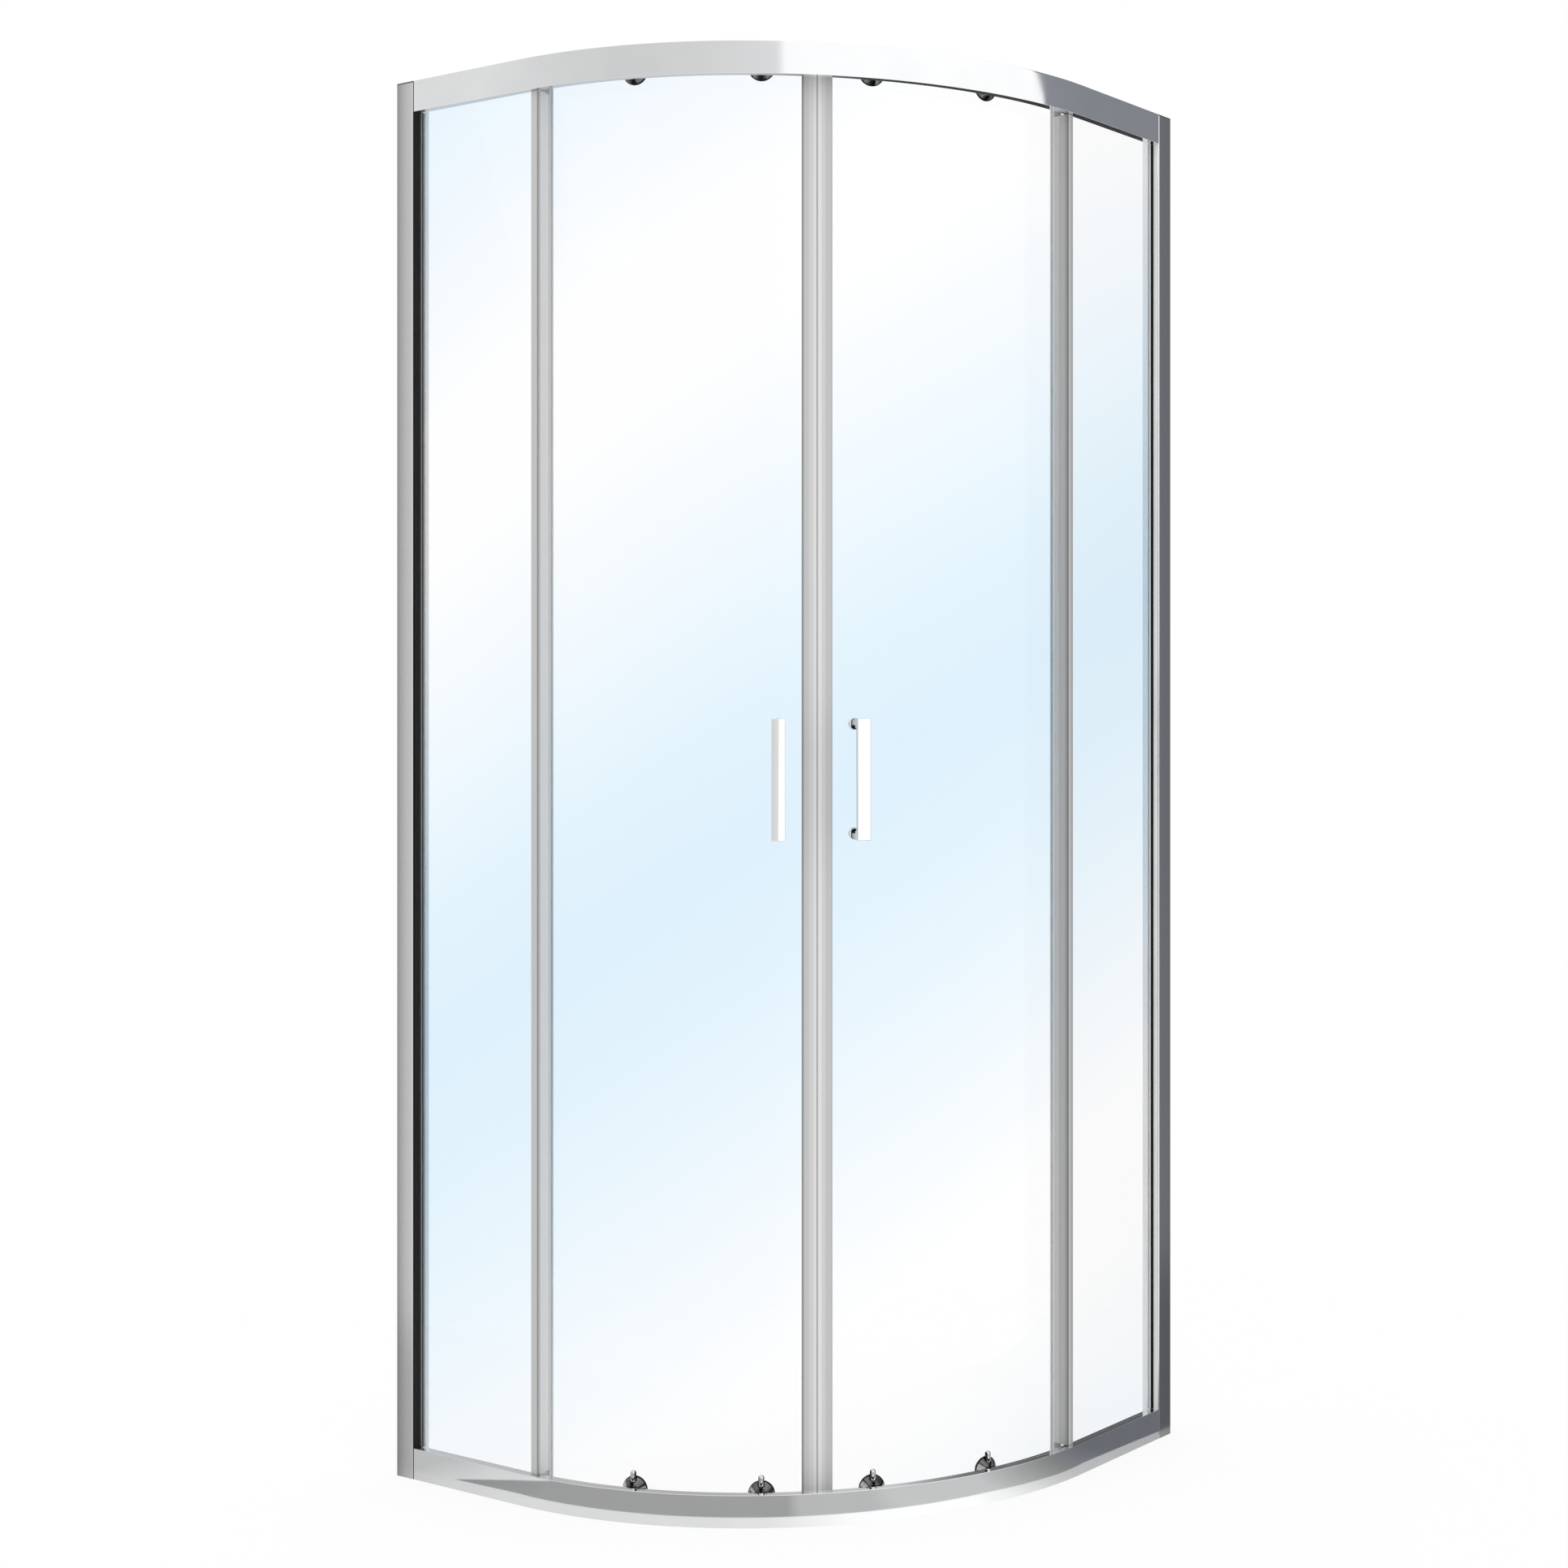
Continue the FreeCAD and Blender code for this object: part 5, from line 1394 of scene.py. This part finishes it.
def make_glass():
    """Clear glass with painted reflections of the sky in soft slanting bands of pale blue."""
    material, tree, shader, coords = new_finish("clear_glass", 0.0, GLASS_IOR)
    shader.inputs["Transmission Weight"].default_value = 1.0
    shader.inputs["Roughness"].default_value = 0.0
    across, along, height = split_place(tree, coords)
    right = math_node(tree, "ADD", math_node(tree, "MULTIPLY", across, BAND_RIGHT[0]),
                      math_node(tree, "MULTIPLY", along, BAND_RIGHT[1]))
    slant = math_node(tree, "SUBTRACT", height, math_node(tree, "MULTIPLY", right, BAND_SLOPE))
    cloud = noise_node(tree, coords, BAND_DRIFT_SCALE, 1.0)
    drift = math_node(tree, "MULTIPLY_ADD", cloud, BAND_DRIFT, -BAND_DRIFT / 2)
    length = BAND_HIGH - BAND_LOW
    share = span_share(tree, math_node(tree, "ADD", slant, drift), BAND_LOW, length)
    bands = ramp_node(tree, share, span_stops(PAINTED_SKY_BANDS, BAND_LOW, length))
    tree.links.new(bands, shader.inputs["Base Color"])
    path = tree.nodes.new("ShaderNodeLightPath")
    lit = math_node(tree, "SUBTRACT", 1.0, path.outputs["Is Shadow Ray"])
    tree.links.new(lit, shader.inputs["Alpha"])
    return material


finishes["clear_glass"] = make_glass()
print("glass with", len(PAINTED_SKY_BANDS), "stops along its bands")

# %% [markdown]
# ## Ways across the strips
# The strips and seals on the glass edges are drawn from soft grey vinyl. Their edges and lips shade each
# other and catch light in fine upright lines, and the finish paints this light and shade across each strip,
# with tones of its own for the left and right sides. To place the tones we need a way across each strip.
# Unwrapping would give one. The places round the curve give it without: beside the fixed glass the way turns
# round the corner of the strip, and at the seam it follows the angle round the curve.

# %% Ways across the strips
STRIP_FRONT = 0.542
WAY_START = 0.250
WAY_LENGTH = 0.050
SEAM_HALF = 0.0205


def strip_way(tree, place):
    """Way round the section of a strip at the free edge of the fixed glass, and on over the door's seal."""
    way = math_node(tree, "ADD", math_node(tree, "SUBTRACT", place["run"], place["radius"]), STRIP_FRONT)
    return span_share(tree, way, WAY_START, WAY_LENGTH), WAY_START, WAY_LENGTH


def seam_way(tree, place):
    """Way across the two seals at the middle of the curve."""
    off_seam = math_node(tree, "SUBTRACT", place["angle"], math.radians(45))
    way = math_node(tree, "MULTIPLY", off_seam, PANE_OUTER)
    return span_share(tree, way, -SEAM_HALF, 2 * SEAM_HALF), -SEAM_HALF, 2 * SEAM_HALF


print("ways of", WAY_LENGTH, "m across a strip and", 2 * SEAM_HALF, "m across the seam")

# %% [markdown]
# ## Grey vinyl
# Modelled lips and grooves this fine would be lost in the picture, so a ramp across each strip paints their
# shade and highlights as painted lines. A noise that is stretched along the strip lets them drift a little.
# The rear seals of the doors are soft and let some light soak through.

# %% Grey vinyl
# painted shade and highlights across the strips and the seam, left and right with tones of their own
LEFT_STRIP_PAINTED_SHADE = [
    (0.253, 190), (0.2600, 183), (0.2632, 190), (0.2644, 160), (0.2658, 138), (0.2672, 180),
    (0.2688, 189), (0.2718, 226), (0.2795, 227), (0.2842, 232), (0.2858, 222), (0.2872, 200),
    (0.2890, 240), (0.2980, 250)]
RIGHT_STRIP_PAINTED_SHADE = [
    (0.253, 166), (0.2592, 168), (0.2610, 190), (0.2634, 190), (0.2648, 128), (0.2664, 116),
    (0.2680, 144), (0.2692, 160), (0.2706, 158), (0.2722, 174), (0.2795, 175), (0.2806, 194),
    (0.2872, 194), (0.2890, 240), (0.2980, 250)]
SEAM_PAINTED_SHADE = [
    (-0.0205, 150), (-0.0185, 134), (-0.0175, 188), (-0.0112, 193), (-0.0100, 203), (-0.0058, 204),
    (-0.0028, 224), (-0.0014, 205), (0.0, 200), (0.0028, 224), (0.0050, 220), (0.0062, 207),
    (0.0110, 200), (0.0126, 189), (0.0175, 192), (0.0205, 170)]
VINYL_CLOUD_SCALE = 60.0
VINYL_CLOUD_STRETCH = (1, 1, 0.05)
VINYL_DRIFT = 0.012
SOFT_DEPTH = 0.004


def make_vinyl(name, share_of, painted_tones, soft=False):
    """Satin grey vinyl with painted shade and highlights in upright lines across it."""
    material, tree, shader, coords = new_finish(name)
    if soft:
        let_light_through(shader, SOFT_DEPTH)
    share, first, length = share_of(tree, round_curve(tree, coords))
    cloud = noise_node(tree, coords, VINYL_CLOUD_SCALE, stretch=VINYL_CLOUD_STRETCH)
    drift = math_node(tree, "MULTIPLY_ADD", cloud, VINYL_DRIFT, -VINYL_DRIFT / 2)
    drawn = ramp_node(tree, math_node(tree, "ADD", share, drift), span_stops(painted_tones, first, length))
    tree.links.new(drawn, shader.inputs["Base Color"])
    set_range(tree, cloud, SOFT_ROUGHNESS, shader.inputs["Roughness"])
    return material


strip_left = make_vinyl("strip_vinyl_left", strip_way, LEFT_STRIP_PAINTED_SHADE)
strip_right = make_vinyl("strip_vinyl_right", strip_way, RIGHT_STRIP_PAINTED_SHADE)
seal_left = make_vinyl("seal_vinyl_left", strip_way, LEFT_STRIP_PAINTED_SHADE, soft=True)
seal_right = make_vinyl("seal_vinyl_right", strip_way, RIGHT_STRIP_PAINTED_SHADE, soft=True)
finishes["grey_seal"] = make_vinyl("seam_vinyl", seam_way, SEAM_PAINTED_SHADE)
print("vinyl drawn with", len(LEFT_STRIP_PAINTED_SHADE), "to", len(SEAM_PAINTED_SHADE), "stops across")

# %% [markdown]
# ## Dressing the pieces
# Each piece has a slot in the record that names what it is made of. A list of our own, piece by piece,
# would be long and easy to get wrong, so a piece takes the finish of its slot, and only the pieces that
# need a finish of their own are listed by the start of their names.

# %% Give every piece its finish
OWN_FINISHES = (
    ("wall_profile_left", satin_left), ("wall_profile_right", satin_right),
    ("glass_post_left", post_left), ("glass_post_right", post_right),
    ("post_gasket_left", gasket_left), ("post_gasket_right", gasket_right),
    ("fixed_edge_strip_left", strip_left), ("rear_seal_left", seal_left),
    ("fixed_edge_strip_right", strip_right), ("rear_seal_right", seal_right),
    ("top_hubs", roller_chrome), ("bottom_housings", roller_chrome),
    ("release_plunger", button_chrome), ("handle_left", handle_chrome), ("handle_right", handle_chrome))


def finish_of(node):
    """Finish of a node: its own where it has one, otherwise the finish of its slot."""
    for start, finish in OWN_FINISHES:
        if node.startswith(start):
            return finish
    return finishes[slot_of_node[node]]


def dress(piece, material):
    """Give a piece one material."""
    piece.data.materials.clear()
    piece.data.materials.append(material)


for node in nodes:
    dress(nodes[node], finish_of(node))
for node, piece in smooth_pieces.items():
    dress(piece, finish_of(node))
for piece in (bottom_rail, top_rail):
    dress(piece, finishes["polished_aluminium"])
for piece in (left_pane, right_pane):
    dress(piece, finishes["clear_glass"])
for piece in coils:
    dress(piece, finishes["spring_steel"])
print(len(nodes), "nodes dressed with", len({finish_of(node).name for node in nodes}), "finishes")
